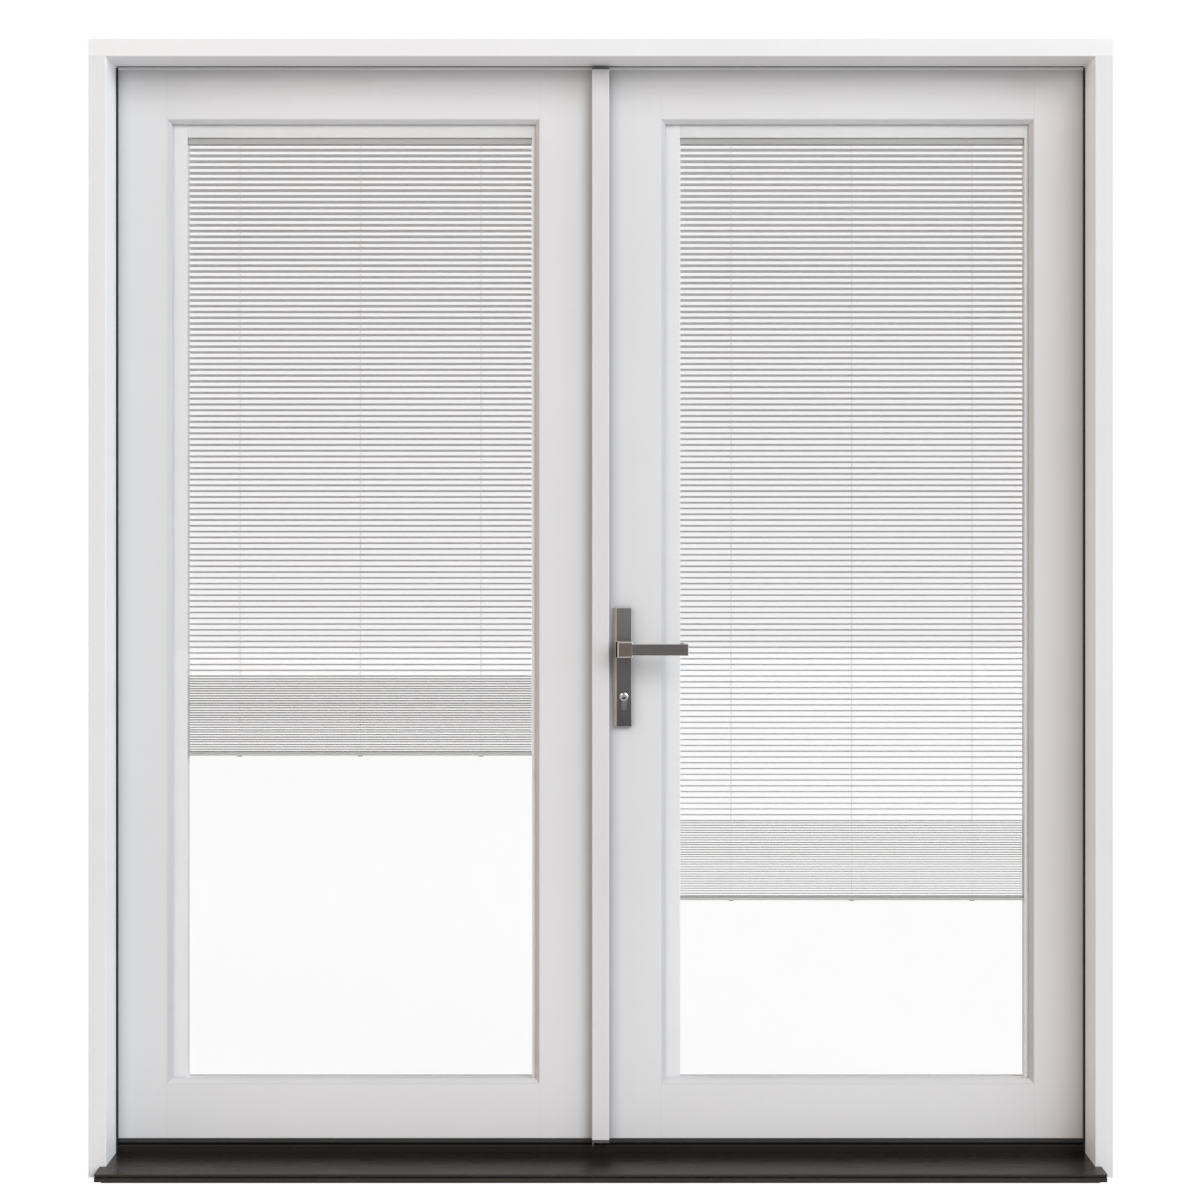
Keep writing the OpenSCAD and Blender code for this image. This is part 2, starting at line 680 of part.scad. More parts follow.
// The slider hangs on magnets at the room side of the glass and moves against its blind
module blind_slider(x0, bar_z) color(paint) {
    x = x0 + channel_in / 2 + 1.5;
    z = slider_top_z - (bar_z - lite_z0 - bottom_bar_in - cord_plug_h);
    along_y(pane_back_y + slack, pane_back_y + slack + slider[1]) difference() {
        translate([x, z]) square([slider[0], slider[2]], center = true);
        for (side = [-1, 1], end = [-1, 1])
            translate([x + side * slider[0] / 2, z + end * slider[2] / 2])
                rotate(45) square(3, center = true);
    }
}
module left_blind_slider() blind_slider(-lite_x, left_bar_z);
module right_blind_slider() blind_slider(lite_in_x, right_bar_z);

// Sweeps under the leaves
module door_sweep(x0, x1) color(black) along_x(x0, x1) union() {
    translate([leaf_y + leaf_arris, leaf_bottom - 4])
        square([leaf_t - leaf_arris - 1, 4]);
    translate([leaf_y + leaf_arris, leaf_bottom - 7]) square([3, 7]);
    for (y = [mid_y - 14, mid_y + 14])
        translate([y, riser_h + slack]) square([2, sweep_gap - slack]);
}
module left_door_sweep() difference() {
    door_sweep(-leaf_x, stem_x[1]);
    rod_z(riser_h, leaf_bottom + 1, flush_x, mid_y, flush_r + hole_play);
}
module right_door_sweep() door_sweep(meet_x, leaf_x);

// Astragal on the passive leaf
module astragal() color(paint) difference() {
    union() {
        along_z(astragal_z0, astragal_z1) polygon([[-astragal_w / 2, leaf_y],
            [-astragal_w / 2, astragal_y + astragal_edge],
            [astragal_edge - astragal_w / 2, astragal_y],
            [astragal_w / 2 - astragal_edge, astragal_y],
            [astragal_w / 2, astragal_y + astragal_edge],
            [astragal_w / 2, leaf_y - lip_gap], [stem_x[1], leaf_y - lip_gap],
            [stem_x[1], leaf_y]]);
        block([stem_x[0], leaf_y, leaf_bottom], [stem_x[1], back_y - stem_back, leaf_top]);
    }
    strike_seat(1);
    strike_pockets();
    flush_bolt_room(hole_play);
}
module astragal_seals() color(black) {
    block([astragal_w / 2 - 3 - bulb_w, leaf_y - lip_gap, astragal_z0],
        [astragal_w / 2 - 3, leaf_y, astragal_z1]);
    block([-astragal_w / 2, astragal_y + 1, astragal_z1],
        [astragal_w / 2, leaf_y - lip_gap, strip_z - pad_gap]);
    along_y(astragal_y + 2, leaf_y - lip_gap) polygon([
        [-astragal_w / 2, astragal_z0], [-astragal_w / 2, astragal_z0 - foot_pad_h],
        [(foot_tip_w - astragal_w) / 2, riser_h + slack],
        [foot_tip_w - astragal_w / 2, astragal_z0 - foot_pad_h],
        [astragal_w / 2, astragal_z0 - foot_pad_h], [astragal_w / 2, astragal_z0]]);
}

// Keeper for the latch and the deadbolt
module strike_seat(over) {
    block([stem_x[1] - strike_t, strike_y[0], strike_z[0]],
        [stem_x[1] + over, strike_y[1], strike_z[1]]);
}
module strike_pockets() {
    block([pocket_x, mid_y - latch_w / 2 - slack, lever_z - latch_h / 2 - slack],
        [stem_x[1] + 1, mid_y + latch_w / 2 + keeper_slot_back,
        lever_z + latch_h / 2 + slack]);
    block([pocket_x, mid_y - bolt_w / 2 - slack, bolt_z - bolt_h / 2 - slack],
        [stem_x[1] + 1, mid_y + bolt_w / 2 + slack, bolt_z + bolt_h / 2 + slack]);
}
module strike_plate() color(nickel) difference() {
    strike_seat(0);
    strike_pockets();
}

// Flush bolts with a finger tab that stands in a slot of the meeting edge
module flush_bolt(end_z, away, play) {
    z0 = end_z - (away > 0 ? flush_l : 0);
    rod_z(z0, z0 + flush_l, flush_x, mid_y, flush_r + play);
    block([flush_x, mid_y - tab[0] / 2 - play, end_z - away * tab_from_end - tab[1] / 2],
        [stem_x[1] - 1 + play, mid_y + tab[0] / 2 + play,
        end_z - away * tab_from_end + tab[1] / 2]);
}
module top_flush_bolt() color(nickel) flush_bolt(leaf_top - 1, 1, 0);
module bottom_flush_bolt() color(nickel) flush_bolt(leaf_bottom + 1, -1, 0);
module flush_bolt_room(play) {
    rod_z(leaf_top - flush_l - 4, leaf_top + 1, flush_x, mid_y, flush_r + play);
    block([flush_x, mid_y - tab[0] / 2 - hole_play,
        leaf_top - 1 - tab_from_end - tab[1] / 2 - hole_play],
        [stem_x[1] + 1, mid_y + tab[0] / 2 + hole_play,
        leaf_top - 1 - tab_from_end + tab[1] / 2 + top_throw + hole_play]);
    rod_z(leaf_bottom - 1, leaf_bottom + flush_l + 4, flush_x, mid_y, flush_r + play);
    block([flush_x, mid_y - tab[0] / 2 - hole_play,
        leaf_bottom + 1 + tab_from_end - tab[1] / 2 - bottom_throw - hole_play],
        [stem_x[1] + 1, mid_y + tab[0] / 2 + hole_play,
        leaf_bottom + 1 + tab_from_end + tab[1] / 2 + hole_play]);
}

// Lock
module latch_room(play) {
    block([meet_x - 1, mid_y - latch_w / 2 - play, lever_z - latch_h / 2 - play],
        [latch_x1 + latch_throw + play, mid_y + latch_w / 2 + play,
        lever_z + latch_h / 2 + play]);
}
module bolt_room(play) {
    block([meet_x - 1, mid_y - bolt_w / 2 - play, bolt_z - bolt_h / 2 - play],
        [bolt_x1 + play, mid_y + bolt_w / 2 + play, bolt_z + bolt_h / 2 + play]);
}
module cylinder_outline(y0, y1, play) {
    rod_y(y0, y1, axis_lever_x, cylinder_z, cylinder_r + play);
    lobe_r = cylinder_lobe_w / 2;
    low = cylinder_z + cylinder_r - cylinder_total_h + lobe_r;
    block([axis_lever_x - lobe_r - play, y0, low],
        [axis_lever_x + lobe_r + play, y1, cylinder_z]);
    rod_y(y0, y1, axis_lever_x, low, lobe_r + play);
}
module lock_case() color(nickel) difference() {
    block([case_x[0], mid_y - case_t / 2, case_z[0]],
        [case_x[1], mid_y + case_t / 2, case_z[1]]);
    latch_room(slack);
    bolt_room(slack);
    rod_y(mid_y - case_t, mid_y + case_t, axis_lever_x, lever_z,
        follower_r + slack);
    cylinder_outline(mid_y - case_t, mid_y + case_t, slack);
    rod_y(mid_y - cam_t / 2 - slack, mid_y + cam_t / 2 + slack, axis_lever_x,
        cylinder_z, cam_r + 1);
}
module lock_faceplate() color(nickel) difference() {
    block([meet_x, mid_y - face_w / 2, face_z[0]],
        [meet_x + face_t, mid_y + face_w / 2, face_z[1]]);
    latch_room(slack);
    bolt_room(slack);
}
module latch_bolt() color(nickel) along_z(lever_z - latch_h / 2, lever_z + latch_h / 2)
    polygon([[latch_x1, mid_y - latch_w / 2], [latch_x1, mid_y + latch_w / 2],
        [meet_x - latch_out, mid_y + latch_w / 2],
        [meet_x - latch_out, mid_y + latch_w / 2 - 3],
        [meet_x - 2, mid_y - latch_w / 2]]);
module deadbolt() color(nickel)
    block([meet_x + slack, mid_y - bolt_w / 2, bolt_z - bolt_h / 2],
        [bolt_x1, mid_y + bolt_w / 2, bolt_z + bolt_h / 2]);
module lock_cylinder() color(nickel) difference() {
    cylinder_outline(outer_face_y - cylinder_proud, inner_face_y + cylinder_proud, 0);
    rod_y(outer_face_y - plate_t, inner_face_y + plate_t, axis_lever_x, cylinder_z,
        plug_r + pin_fit);
    rod_y(mid_y - cam_t / 2 - slack, mid_y + cam_t / 2 + slack, axis_lever_x,
        cylinder_z, cam_r + 1);
}
module cylinder_turn() color(chrome) difference() {
    union() {
        rod_y(outer_face_y - cylinder_proud - slack, inner_face_y + 6, axis_lever_x,
            cylinder_z, plug_r);
        rod_y(mid_y - cam_t / 2, mid_y + cam_t / 2, axis_lever_x, cylinder_z,
            plug_r + 1.5);
        block([axis_lever_x - 4, mid_y - cam_t / 2, cylinder_z],
            [axis_lever_x + 4, mid_y + cam_t / 2, cylinder_z + cam_r - 1]);
        rod_y(inner_face_y + 6, inner_face_y + 9, axis_lever_x, cylinder_z, turn_d / 2);
        block([axis_lever_x - 3.5, inner_face_y + 8, cylinder_z - turn_d / 2],
            [axis_lever_x + 3.5, inner_face_y + 6 + turn_l, cylinder_z + turn_d / 2]);
    }
    block([axis_lever_x - 0.9, outer_face_y - cylinder_proud - 1, cylinder_z - 5],
        [axis_lever_x + 0.9, outer_face_y + 8, cylinder_z + 4]);
}

// Handle plates: the meeting side has a wide sloping edge
module handle_plate() difference() {
    along_z(plate_z0, plate_z0 + plate_h) polygon([[plate_x0 - plate_flare, leaf_y],
        [plate_x0 - plate_flare, leaf_y - 1.5], [plate_x0, outer_face_y],
        [plate_x1 - 0.8, outer_face_y], [plate_x1, outer_face_y + 0.8],
        [plate_x1, leaf_y]]);
    rod_y(outer_face_y - 1, leaf_y + 1, axis_lever_x, lever_z, neck_r);
    cylinder_outline(outer_face_y - 1, leaf_y + 1, slack);
}
module to_room_side() {
    translate([0, 2 * mid_y, 0]) mirror([0, 1, 0]) children();
}
module outer_plate() color(gunmetal) difference() {
    handle_plate();
    for (z = plate_screw_zs)
        rod_y(outer_face_y + 3, leaf_y + 1, axis_lever_x, z,
            plate_screw_r + screw_play);
}
module inner_plate() color(gunmetal) difference() {
    to_room_side() handle_plate();
    for (z = plate_screw_zs) plate_screw(z, screw_play);
}
module plate_screw(z, play) {
    rod_y(outer_face_y + 4 - play, inner_face_y, axis_lever_x, z,
        plate_screw_r + play);
    rod_y(inner_face_y - 3, inner_face_y, axis_lever_x, z, plate_screw_r + play,
        plate_screw_head_r + play);
}
module plate_screws() color(nickel) for (z = plate_screw_zs) plate_screw(z, 0);

// Levers: a square neck and a flat bar, on a round journal that turns in the plate
module lever() {
    neck_y = outer_face_y - slack;
    out_y = outer_face_y - lever_out;
    x0 = axis_lever_x - neck_block_w / 2 + 1;
    block([axis_lever_x - collar[0] / 2, neck_y - collar[1], lever_z - collar[2] / 2],
        [axis_lever_x + collar[0] / 2, neck_y, lever_z + collar[2] / 2]);
    along_z(lever_z - lever_h / 2, lever_z + lever_h / 2) polygon([
        [x0, neck_y - 1], [x0, out_y + neck_chamfer], [x0 + neck_chamfer, out_y],
        [axis_lever_x + lever_l - lever_edge, out_y],
        [axis_lever_x + lever_l, out_y + lever_edge],
        [axis_lever_x + lever_l, out_y + lever_t],
        [x0 + neck_block_w, out_y + lever_t], [x0 + neck_block_w, neck_y - 1]]);
    rod_y(neck_y - 1, leaf_y, axis_lever_x, lever_z, neck_r - neck_fit);
}
module outer_lever() color(gunmetal) difference() {
    lever();
    block([axis_lever_x - spindle_w / 2 - spindle_fit, outer_face_y - 12,
        lever_z - spindle_w / 2 - spindle_fit],
        [axis_lever_x + spindle_w / 2 + spindle_fit, leaf_y + 1,
        lever_z + spindle_w / 2 + spindle_fit]);
}
module inner_lever() color(gunmetal) union() {
    to_room_side() lever();
    block([axis_lever_x - spindle_w / 2, outer_face_y - 10, lever_z - spindle_w / 2],
        [axis_lever_x + spindle_w / 2, back_y + 1, lever_z + spindle_w / 2]);
}

head_jamb();
left_jamb();
right_jamb();
sill_deck();
sill_core();
sill_riser();
head_weatherstrip();
jamb_weatherstrips();
hinge_frame_plates();
hinge_pins();
hinge_screws();
bolt_keepers();
left_hinge_stile();
left_lock_stile();
left_top_rail();
left_bottom_rail();
left_outer_beads();
left_inner_beads();
left_glass_panes();
left_spacer_bars();
left_headrail();
left_hanging_slats();
left_ladder_cords();
left_gathered_slats();
left_bottom_bar();
left_blind_slider();
left_door_sweep();
left_hinge_plates();
astragal();
astragal_seals();
strike_plate();
top_flush_bolt();
bottom_flush_bolt();
right_hinge_stile();
right_lock_stile();
right_top_rail();
right_bottom_rail();
right_outer_beads();
right_inner_beads();
right_glass_panes();
right_spacer_bars();
right_headrail();
right_hanging_slats();
right_ladder_cords();
right_gathered_slats();
right_bottom_bar();
right_blind_slider();
right_door_sweep();
right_hinge_plates();
lock_case();
lock_faceplate();
latch_bolt();
deadbolt();
lock_cylinder();
cylinder_turn();
outer_plate();
inner_plate();
plate_screws();
outer_lever();
inner_lever();
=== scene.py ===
"""The looks of an inswing pair of french doors in its frame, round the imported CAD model."""

import json
import math
import random

import bmesh
import bpy
from mathutils import Matrix, Vector

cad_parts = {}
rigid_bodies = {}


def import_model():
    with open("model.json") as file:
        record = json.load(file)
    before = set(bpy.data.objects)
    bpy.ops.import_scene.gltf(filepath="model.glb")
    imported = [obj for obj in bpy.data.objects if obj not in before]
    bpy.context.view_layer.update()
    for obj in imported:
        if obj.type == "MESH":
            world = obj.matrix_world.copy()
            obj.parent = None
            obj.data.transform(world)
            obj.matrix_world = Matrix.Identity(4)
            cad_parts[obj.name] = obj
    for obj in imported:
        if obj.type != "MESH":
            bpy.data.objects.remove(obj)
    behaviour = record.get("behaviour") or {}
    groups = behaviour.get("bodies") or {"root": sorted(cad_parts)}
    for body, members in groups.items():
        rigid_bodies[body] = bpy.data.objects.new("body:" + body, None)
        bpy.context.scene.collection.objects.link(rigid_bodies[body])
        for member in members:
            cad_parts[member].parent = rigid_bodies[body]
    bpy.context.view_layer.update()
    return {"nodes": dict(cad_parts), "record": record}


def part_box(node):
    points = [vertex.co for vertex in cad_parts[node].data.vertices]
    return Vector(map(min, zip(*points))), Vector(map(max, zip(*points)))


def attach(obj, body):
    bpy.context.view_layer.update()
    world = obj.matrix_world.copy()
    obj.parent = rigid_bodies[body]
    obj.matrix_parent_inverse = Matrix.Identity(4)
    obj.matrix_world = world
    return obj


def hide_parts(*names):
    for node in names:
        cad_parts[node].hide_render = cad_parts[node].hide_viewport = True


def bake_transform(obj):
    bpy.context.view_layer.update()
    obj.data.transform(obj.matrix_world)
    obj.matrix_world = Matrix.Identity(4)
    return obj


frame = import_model()

MM = 0.001
SIDES = ("left", "right")
CHANCE = random.Random(7)


# ---------------------------------------------------------------- colour and nodes
def linear(hex_colour):
    """An sRGB hex colour as the linear RGBA that shaders take."""
    parts = [int(hex_colour[i : i + 2], 16) / 255 for i in (1, 3, 5)]
    return (*[c / 12.92 if c <= 0.04045 else ((c + 0.055) / 1.055) ** 2.4 for c in parts], 1.0)


def add(tree, kind, sockets=None, **settings):
    """Adds one node, with its settings and its sockets' values or links."""
    node = tree.nodes.new("ShaderNode" + kind)
    for name, value in settings.items():
        setattr(node, name, value)
    for socket, value in (sockets or {}).items():
        if isinstance(value, bpy.types.NodeSocket):
            tree.links.new(value, node.inputs[socket])
        else:
            node.inputs[socket].default_value = value
    return node


def new_material(name):
    """An empty node material, its tree and its output node."""
    made = bpy.data.materials.new(name)
    made.use_nodes = True
    made.node_tree.nodes.clear()
    return made, made.node_tree, add(made.node_tree, "OutputMaterial")


EVEN = (1, 1, 1)
ORANGE_PEEL = (2 * MM, EVEN, 0.02 * MM)  # the size of a cell, its stretch and its depth
NOISE_SPAN = (0.3, 0.7)  # where nearly all of a noise's values lie
GLOSS_CELLS = 5  # the gloss drifts this many times finer than the tone
RELIEF_DETAIL = 3.0


def drift(tree, size, stretch, detail=2.0):
    """A pattern in Object coordinates: cells of a size in metres, longer along stretched axes."""
    place = add(tree, "TexCoord").outputs["Object"]
    scale = [1 / (size * s) for s in stretch]
    mapped = add(tree, "Mapping", {"Vector": place, "Scale": scale}).outputs["Vector"]
    return add(tree, "TexNoise", {"Vector": mapped, "Scale": 1.0, "Detail": detail}).outputs["Fac"]


def finish(name, colour, dark, rough, metallic=0.0, tone=(0.4, EVEN), relief=ORANGE_PEEL,
           painted_shade_downwards=None, painted_corner_shade=None):
    """A surface whose colour drifts between two tones, whose gloss drifts between two
    roughnesses, and which has a fine relief. A painted shade downwards (low, high, colour)
    darkens it towards the bottom between two heights. A painted corner shade (distance, share)
    darkens its inside corners through an ambient occlusion node."""
    made, tree, out = new_material(name)
    low, high = NOISE_SPAN
    cell, stretch = tone
    share = add(tree, "MapRange", {"Value": drift(tree, cell, stretch), "From Min": low,
                                   "From Max": high, "To Min": 0, "To Max": 1})
    shade = add(tree, "Mix", {"Factor": share.outputs["Result"], "A": linear(dark),
                              "B": linear(colour)}, data_type="RGBA")
    # Painted shade: the colour is darkened towards the bottom between two heights
    if painted_shade_downwards:
        place = add(tree, "TexCoord").outputs["Object"]
        height = add(tree, "SeparateXYZ", {"Vector": place}).outputs["Z"]
        share = add(tree, "MapRange", {"Value": height, "From Min": painted_shade_downwards[0], "From Max": painted_shade_downwards[1],
                                       "To Min": 1, "To Max": 0})
        shade = add(tree, "Mix", {"Factor": share.outputs["Result"],
                                  "A": shade.outputs["Result"], "B": linear(painted_shade_downwards[2])},
                    data_type="RGBA", blend_type="MULTIPLY")
    # Painted shade: an ambient occlusion node darkens the colour in the inside corners
    if painted_corner_shade:
        corner = add(tree, "AmbientOcclusion", {"Distance": painted_corner_shade[0]}, samples=8)
        shade = add(tree, "Mix", {"Factor": painted_corner_shade[1], "A": shade.outputs["Result"],
                                  "B": corner.outputs["Color"]},
                    data_type="RGBA", blend_type="MULTIPLY")
    gloss = add(tree, "MapRange", {"Value": drift(tree, cell / GLOSS_CELLS, stretch),
                                   "From Min": low, "From Max": high,
                                   "To Min": rough[0], "To Max": rough[1]})
    grain, grain_stretch, depth = relief
    bump = add(tree, "Bump", {"Height": drift(tree, grain, grain_stretch, RELIEF_DETAIL),
                              "Distance": depth})
    shader = add(tree, "BsdfPrincipled", {
        "Base Color": shade.outputs["Result"], "Roughness": gloss.outputs["Result"],
        "Metallic": metallic, "Normal": bump.outputs["Normal"]})
    tree.links.new(shader.outputs["BSDF"], out.inputs["Surface"])
    return made


# ---------------------------------------------------------------- finishes
# Sprayed enamel on wood: an even satin white with a barely seen orange peel. The leaves are
# a little greyer than the frame, and painted shade darkens the corners of their steps
FRAME_PAINT = finish("sprayed_enamel_frame", "#f7f5f6", "#f4f2f3", (0.38, 0.46))
LEAF_PAINT = finish("sprayed_enamel_leaf", "#e8e6e7", "#e5e3e4", (0.38, 0.46),
                    painted_corner_shade=(26 * MM, 0.65))
# The astragal's inside corners get painted shade as well
ASTRAGAL_PAINT = finish("sprayed_enamel_astragal", "#e3e1e3", "#e0dee0", (0.38, 0.46),
                        painted_corner_shade=(20 * MM, 0.6))

# Extruded PVC beads: a little smoother than the paint, in waves wider and shallower than its
# peel. Their sideways slopes carry painted shade, a darker copy of the PVC, which sets the
# bead off from the stile
PVC_WAVES = (6 * MM, EVEN, 0.01 * MM)
BEAD_PVC = finish("extruded_pvc_bead", "#e6e4e6", "#e2e1e3", (0.30, 0.36), relief=PVC_WAVES)
BEAD_SIDE_PAINTED_SHADE = finish("extruded_pvc_bead_side_painted_shade", "#cdcbcd", "#cac8ca", (0.30, 0.36),
                   relief=PVC_WAVES)

# Dark bronze anodised aluminium: a deep brown sheen in fine lines along the extrusion. Die
# lines are finer than this, and are drawn coarse enough to show
DIE_LINES = (1.2 * MM, (60, 1, 1), 0.02 * MM)
BRONZE = finish("anodised_dark_bronze", "#4a4540", "#423d39", (0.26, 0.34), 0.75,
                tone=(0.02, (20, 1, 1)), relief=DIE_LINES)
# The riser's inside corners are darkened by painted shade from an ambient occlusion node
RISER = finish("anodised_dark_riser", "#48443f", "#403c38", (0.3, 0.38), 0.6,
               tone=(0.02, (20, 1, 1)), relief=DIE_LINES, painted_corner_shade=(20 * MM, 0.9))

# Moulded wood-fibre composite: a dull grey-brown at the sill's ends and underside
SILL_CORE = finish("grey_composite", "#77716b", "#6b655f", (0.6, 0.75), tone=(0.03, EVEN))

# Seals: soft and matt, faintly uneven along their length, and the pile the roughest of them
GREY_SEAL = finish("grey_foam_seal", "#e0dfe0", "#d6d5d6", (0.55, 0.7),
                   tone=(0.03, (4, 1, 1)))
BLACK_SEAL = finish("black_epdm_seal", "#1d1d1e", "#141415", (0.5, 0.62),
                    tone=(0.03, (1, 1, 4)))
ASTRAGAL_SEAL = finish("grey_pile_seal", "#5d5c5d", "#515052", (0.7, 0.85),
                       tone=(0.02, EVEN), relief=(0.8 * MM, EVEN, 0.2 * MM))
BLACK_SWEEP = finish("black_tpe_sweep", "#393939", "#303030", (0.45, 0.55),
                     tone=(0.05, (6, 1, 1)))

# Satin nickel: a warm pale metal, brushed upright, with soft highlights. Zinc-plated steel:
# a cooler and duller grey, faintly mottled
NICKEL = finish("satin_nickel", "#bdb8b0", "#aea9a2", (0.28, 0.36), 1.0,
                tone=(0.01, (1, 1, 8)), relief=(0.8 * MM, (1, 1, 30), 0.01 * MM))
ZINC = finish("zinc_plated_steel", "#b6b5b2", "#a4a3a1", (0.3, 0.4), 1.0,
              tone=(0.02, (1, 1, 3)))

# Brushed and darkened steel of the handle set: streaks run along each piece. Brushing is
# finer than this, and is drawn coarse enough to show. The plate is painted darker towards its
# foot, a painted shade for its dimmer reflection there; the cylinder's face is turned and
# even, and the hub is browned by hands
BRUSHED_UP = {"tone": (1.6 * MM, (1, 1, 60)), "relief": (0.9 * MM, (1, 1, 60), 0.02 * MM)}
BRUSHED_ALONG = {"tone": (1.6 * MM, (60, 1, 1)), "relief": (0.9 * MM, (60, 1, 1), 0.02 * MM)}
PLATE_METAL = finish("brushed_gunmetal_plate", "#a3a1a0", "#959392", (0.34, 0.42), 1.0,
                     painted_shade_downwards=(0.793, 1.007, "#b0aeb0"), **BRUSHED_UP)
CYLINDER_METAL = finish("satin_cylinder_face", "#969392", "#8c8988", (0.38, 0.46), 1.0)
LEVER_METAL = finish("brushed_gunmetal_lever", "#8a8787", "#7e7b7b", (0.34, 0.42), 1.0,
                     **BRUSHED_ALONG)
HUB_METAL = finish("brushed_gunmetal_hub", "#978a84", "#8b7f79", (0.34, 0.42), 1.0,
                   **BRUSHED_ALONG)
# The collar behind the hub is painted dark: painted shade for the shadow between the hub and the
# plate
COLLAR_PAINTED_SHADE = finish("collar_painted_shade", "#45413f", "#3b3836", (0.42, 0.5), 0.8)
# The rounded edges of the set and the plate's sloping strip carry a painted highlight: a warm light
# tone that stands in for the light they reflect
EDGE_PAINTED_HIGHLIGHT = finish("nickel_edge_painted_highlight", "#ece4dc", "#e0d8d0", (0.36, 0.44), 0.45,
                    tone=(3 * MM, (1, 1, 4)))
# Chrome plate: a clear mirror on the key plug and the thumb turn
CHROME = finish("polished_chrome", "#e3e4e6", "#dddee0", (0.05, 0.1), 1.0)

# Coated aluminium between the panes: a clean white spacer, with painted shade at its top (a
# darker copy where it is in shade), and a light grey head rail and bottom bar
SPACER = finish("white_coated_spacer", "#fbfafb", "#f7f6f7", (0.35, 0.42))
SPACER_TOP_PAINTED_SHADE = finish("white_coated_top_spacer_painted_shade", "#f2f1f1", "#eeeded", (0.35, 0.42))
RAIL = finish("white_coated_rail", "#c7c6c5", "#bfbebd", (0.35, 0.42))
BAR = finish("grey_coated_bar", "#d2d1cf", "#c8c7c5", (0.35, 0.42))
# Enamelled slats: glossier, with a long shallow wave where the strip was coiled
SLAT = finish("white_enamelled_slat", "#f2f0f1", "#eeeced", (0.28, 0.34),
              tone=(0.2, (4, 1, 1)), relief=(25 * MM, (4, 1, 1), 0.004 * MM))
# The slats are slit from coated strip, so their long edges show bare metal; its dark grey is
# painted shade that deepens the slats' lines
SLAT_EDGE_PAINTED_SHADE = finish("bare_aluminium_edge_painted_shade", "#6d6c6b", "#626160", (0.4, 0.5), 0.3,
                   tone=(0.05, (4, 1, 1)))
# Braided polyester cord: matt, faintly mottled by its braid
CORD = finish("white_polyester_cord", "#f2f2f0", "#e2e2e0", (0.7, 0.8),
              tone=(1.5 * MM, EVEN))
# Moulded ABS sliders: a glossy even white
SLIDER = finish("white_abs_slider", "#efeeee", "#eae9e9", (0.22, 0.28))


def float_glass():
    """Clear float glass: seen straight through, with a mirror that grows with the angle."""
    glass_ior = 1.5
    made, tree, out = new_material("clear_float_glass")
    through = add(tree, "BsdfTransparent", {"Color": linear("#ffffff")})
    mirror = add(tree, "BsdfAnisotropic", {"Color": linear("#ffffff"), "Roughness": 0.01})
    inside = add(tree, "NewGeometry").outputs["Backfacing"]
    ior = add(tree, "MapRange", {"Value": inside, "To Min": glass_ior, "To Max": 1 / glass_ior})
    rim = add(tree, "Fresnel", {"IOR": ior.outputs["Result"]})
    mix = add(tree, "MixShader", {"Fac": rim.outputs["Fac"], 1: through.outputs["BSDF"],
                                  2: mirror.outputs["BSDF"]})
    tree.links.new(mix.outputs["Shader"], out.inputs["Surface"])
    return made


GLASS = float_glass()

# ---------------------------------------------------------------- mesh tools
SQUARE_ON = 0.9  # a face whose normal's part along an axis is more than this faces along it
SHARP_ANGLE = math.radians(50)
CORNER_ANGLE = math.radians(25)
MERGE_GAP = 0.005 * MM


def dress(name, bm, materials, body=None, nodes=()):
    """Makes a bmesh a piece: its materials, body and the CAD nodes that it stands for.
    Weighted normals keep the flats flat between their rounded edges."""
    mesh = bpy.data.meshes.new(name)
    bm.to_mesh(mesh)
    bm.free()
    if "custom_normal" in mesh.attributes:
        mesh.attributes.remove(mesh.attributes["custom_normal"])
    mesh.shade_smooth()
    mesh.set_sharp_from_angle(angle=SHARP_ANGLE)
    piece = bpy.data.objects.new(name, mesh)
    piece.modifiers.new("flat_faces", "WEIGHTED_NORMAL").keep_sharp = True
    bpy.context.scene.collection.objects.link(piece)
    for material in materials:
        mesh.materials.append(material)
    if nodes:
        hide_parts(*nodes)
    if body:
        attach(piece, body)
    return piece


def body_of(node):
    """The body that a CAD node rides on."""
    bodies = frame["record"]["behaviour"]["bodies"]
    return next(body for body, members in bodies.items() if node in members)


def clean_copy(node):
    """A CAD node's shape as joined flat faces."""
    bm = bmesh.new()
    bm.from_mesh(frame["nodes"][node].data)
    bmesh.ops.remove_doubles(bm, verts=bm.verts, dist=MERGE_GAP)
    bmesh.ops.dissolve_limit(bm, angle_limit=math.radians(1), verts=bm.verts, edges=bm.edges)
    return bm


def ease_edges(bm, edges, width):
    """Rounds edges in two steps, and returns the faces of the rounds."""
    return bmesh.ops.bevel(bm, geom=edges, offset=width, offset_type="OFFSET", segments=2,
                           profile=0.5, affect="EDGES", clamp_overlap=True,
                           material=-1)["faces"]


def corners(bm):
    """The edges where two faces meet at a corner."""
    return [e for e in bm.edges
            if len(e.link_faces) == 2 and e.calc_face_angle(0) > CORNER_ANGLE]


def eased(node, width, materials, is_second=None):
    """A CAD node with its corners eased. Faces that pass a test are in its second finish."""
    bm = clean_copy(node)
    ease_edges(bm, corners(bm), width)
    if is_second:
        bm.normal_update()
        for f in bm.faces:
            f.material_index = int(is_second(f))
    dress(node + "_eased", bm, materials, body_of(node), [node])


def block(bm, low, high, width=0.0, material=0, edge_material=None):
    """Adds a box between two corners, its edges rounded by a width in a finish of their own."""
    middle = (Vector(high) + Vector(low)) / 2
    size = Matrix.Diagonal((*(Vector(high) - Vector(low)), 1))
    cube = bmesh.ops.create_cube(bm, size=1.0, matrix=Matrix.Translation(middle) @ size)
    for f in {f for v in cube["verts"] for f in v.link_faces}:
        f.material_index = material
    if width:
        rounds = ease_edges(bm, list({e for v in cube["verts"] for e in v.link_edges}), width)
        if edge_material is not None:
            for f in rounds:
                f.material_index = edge_material


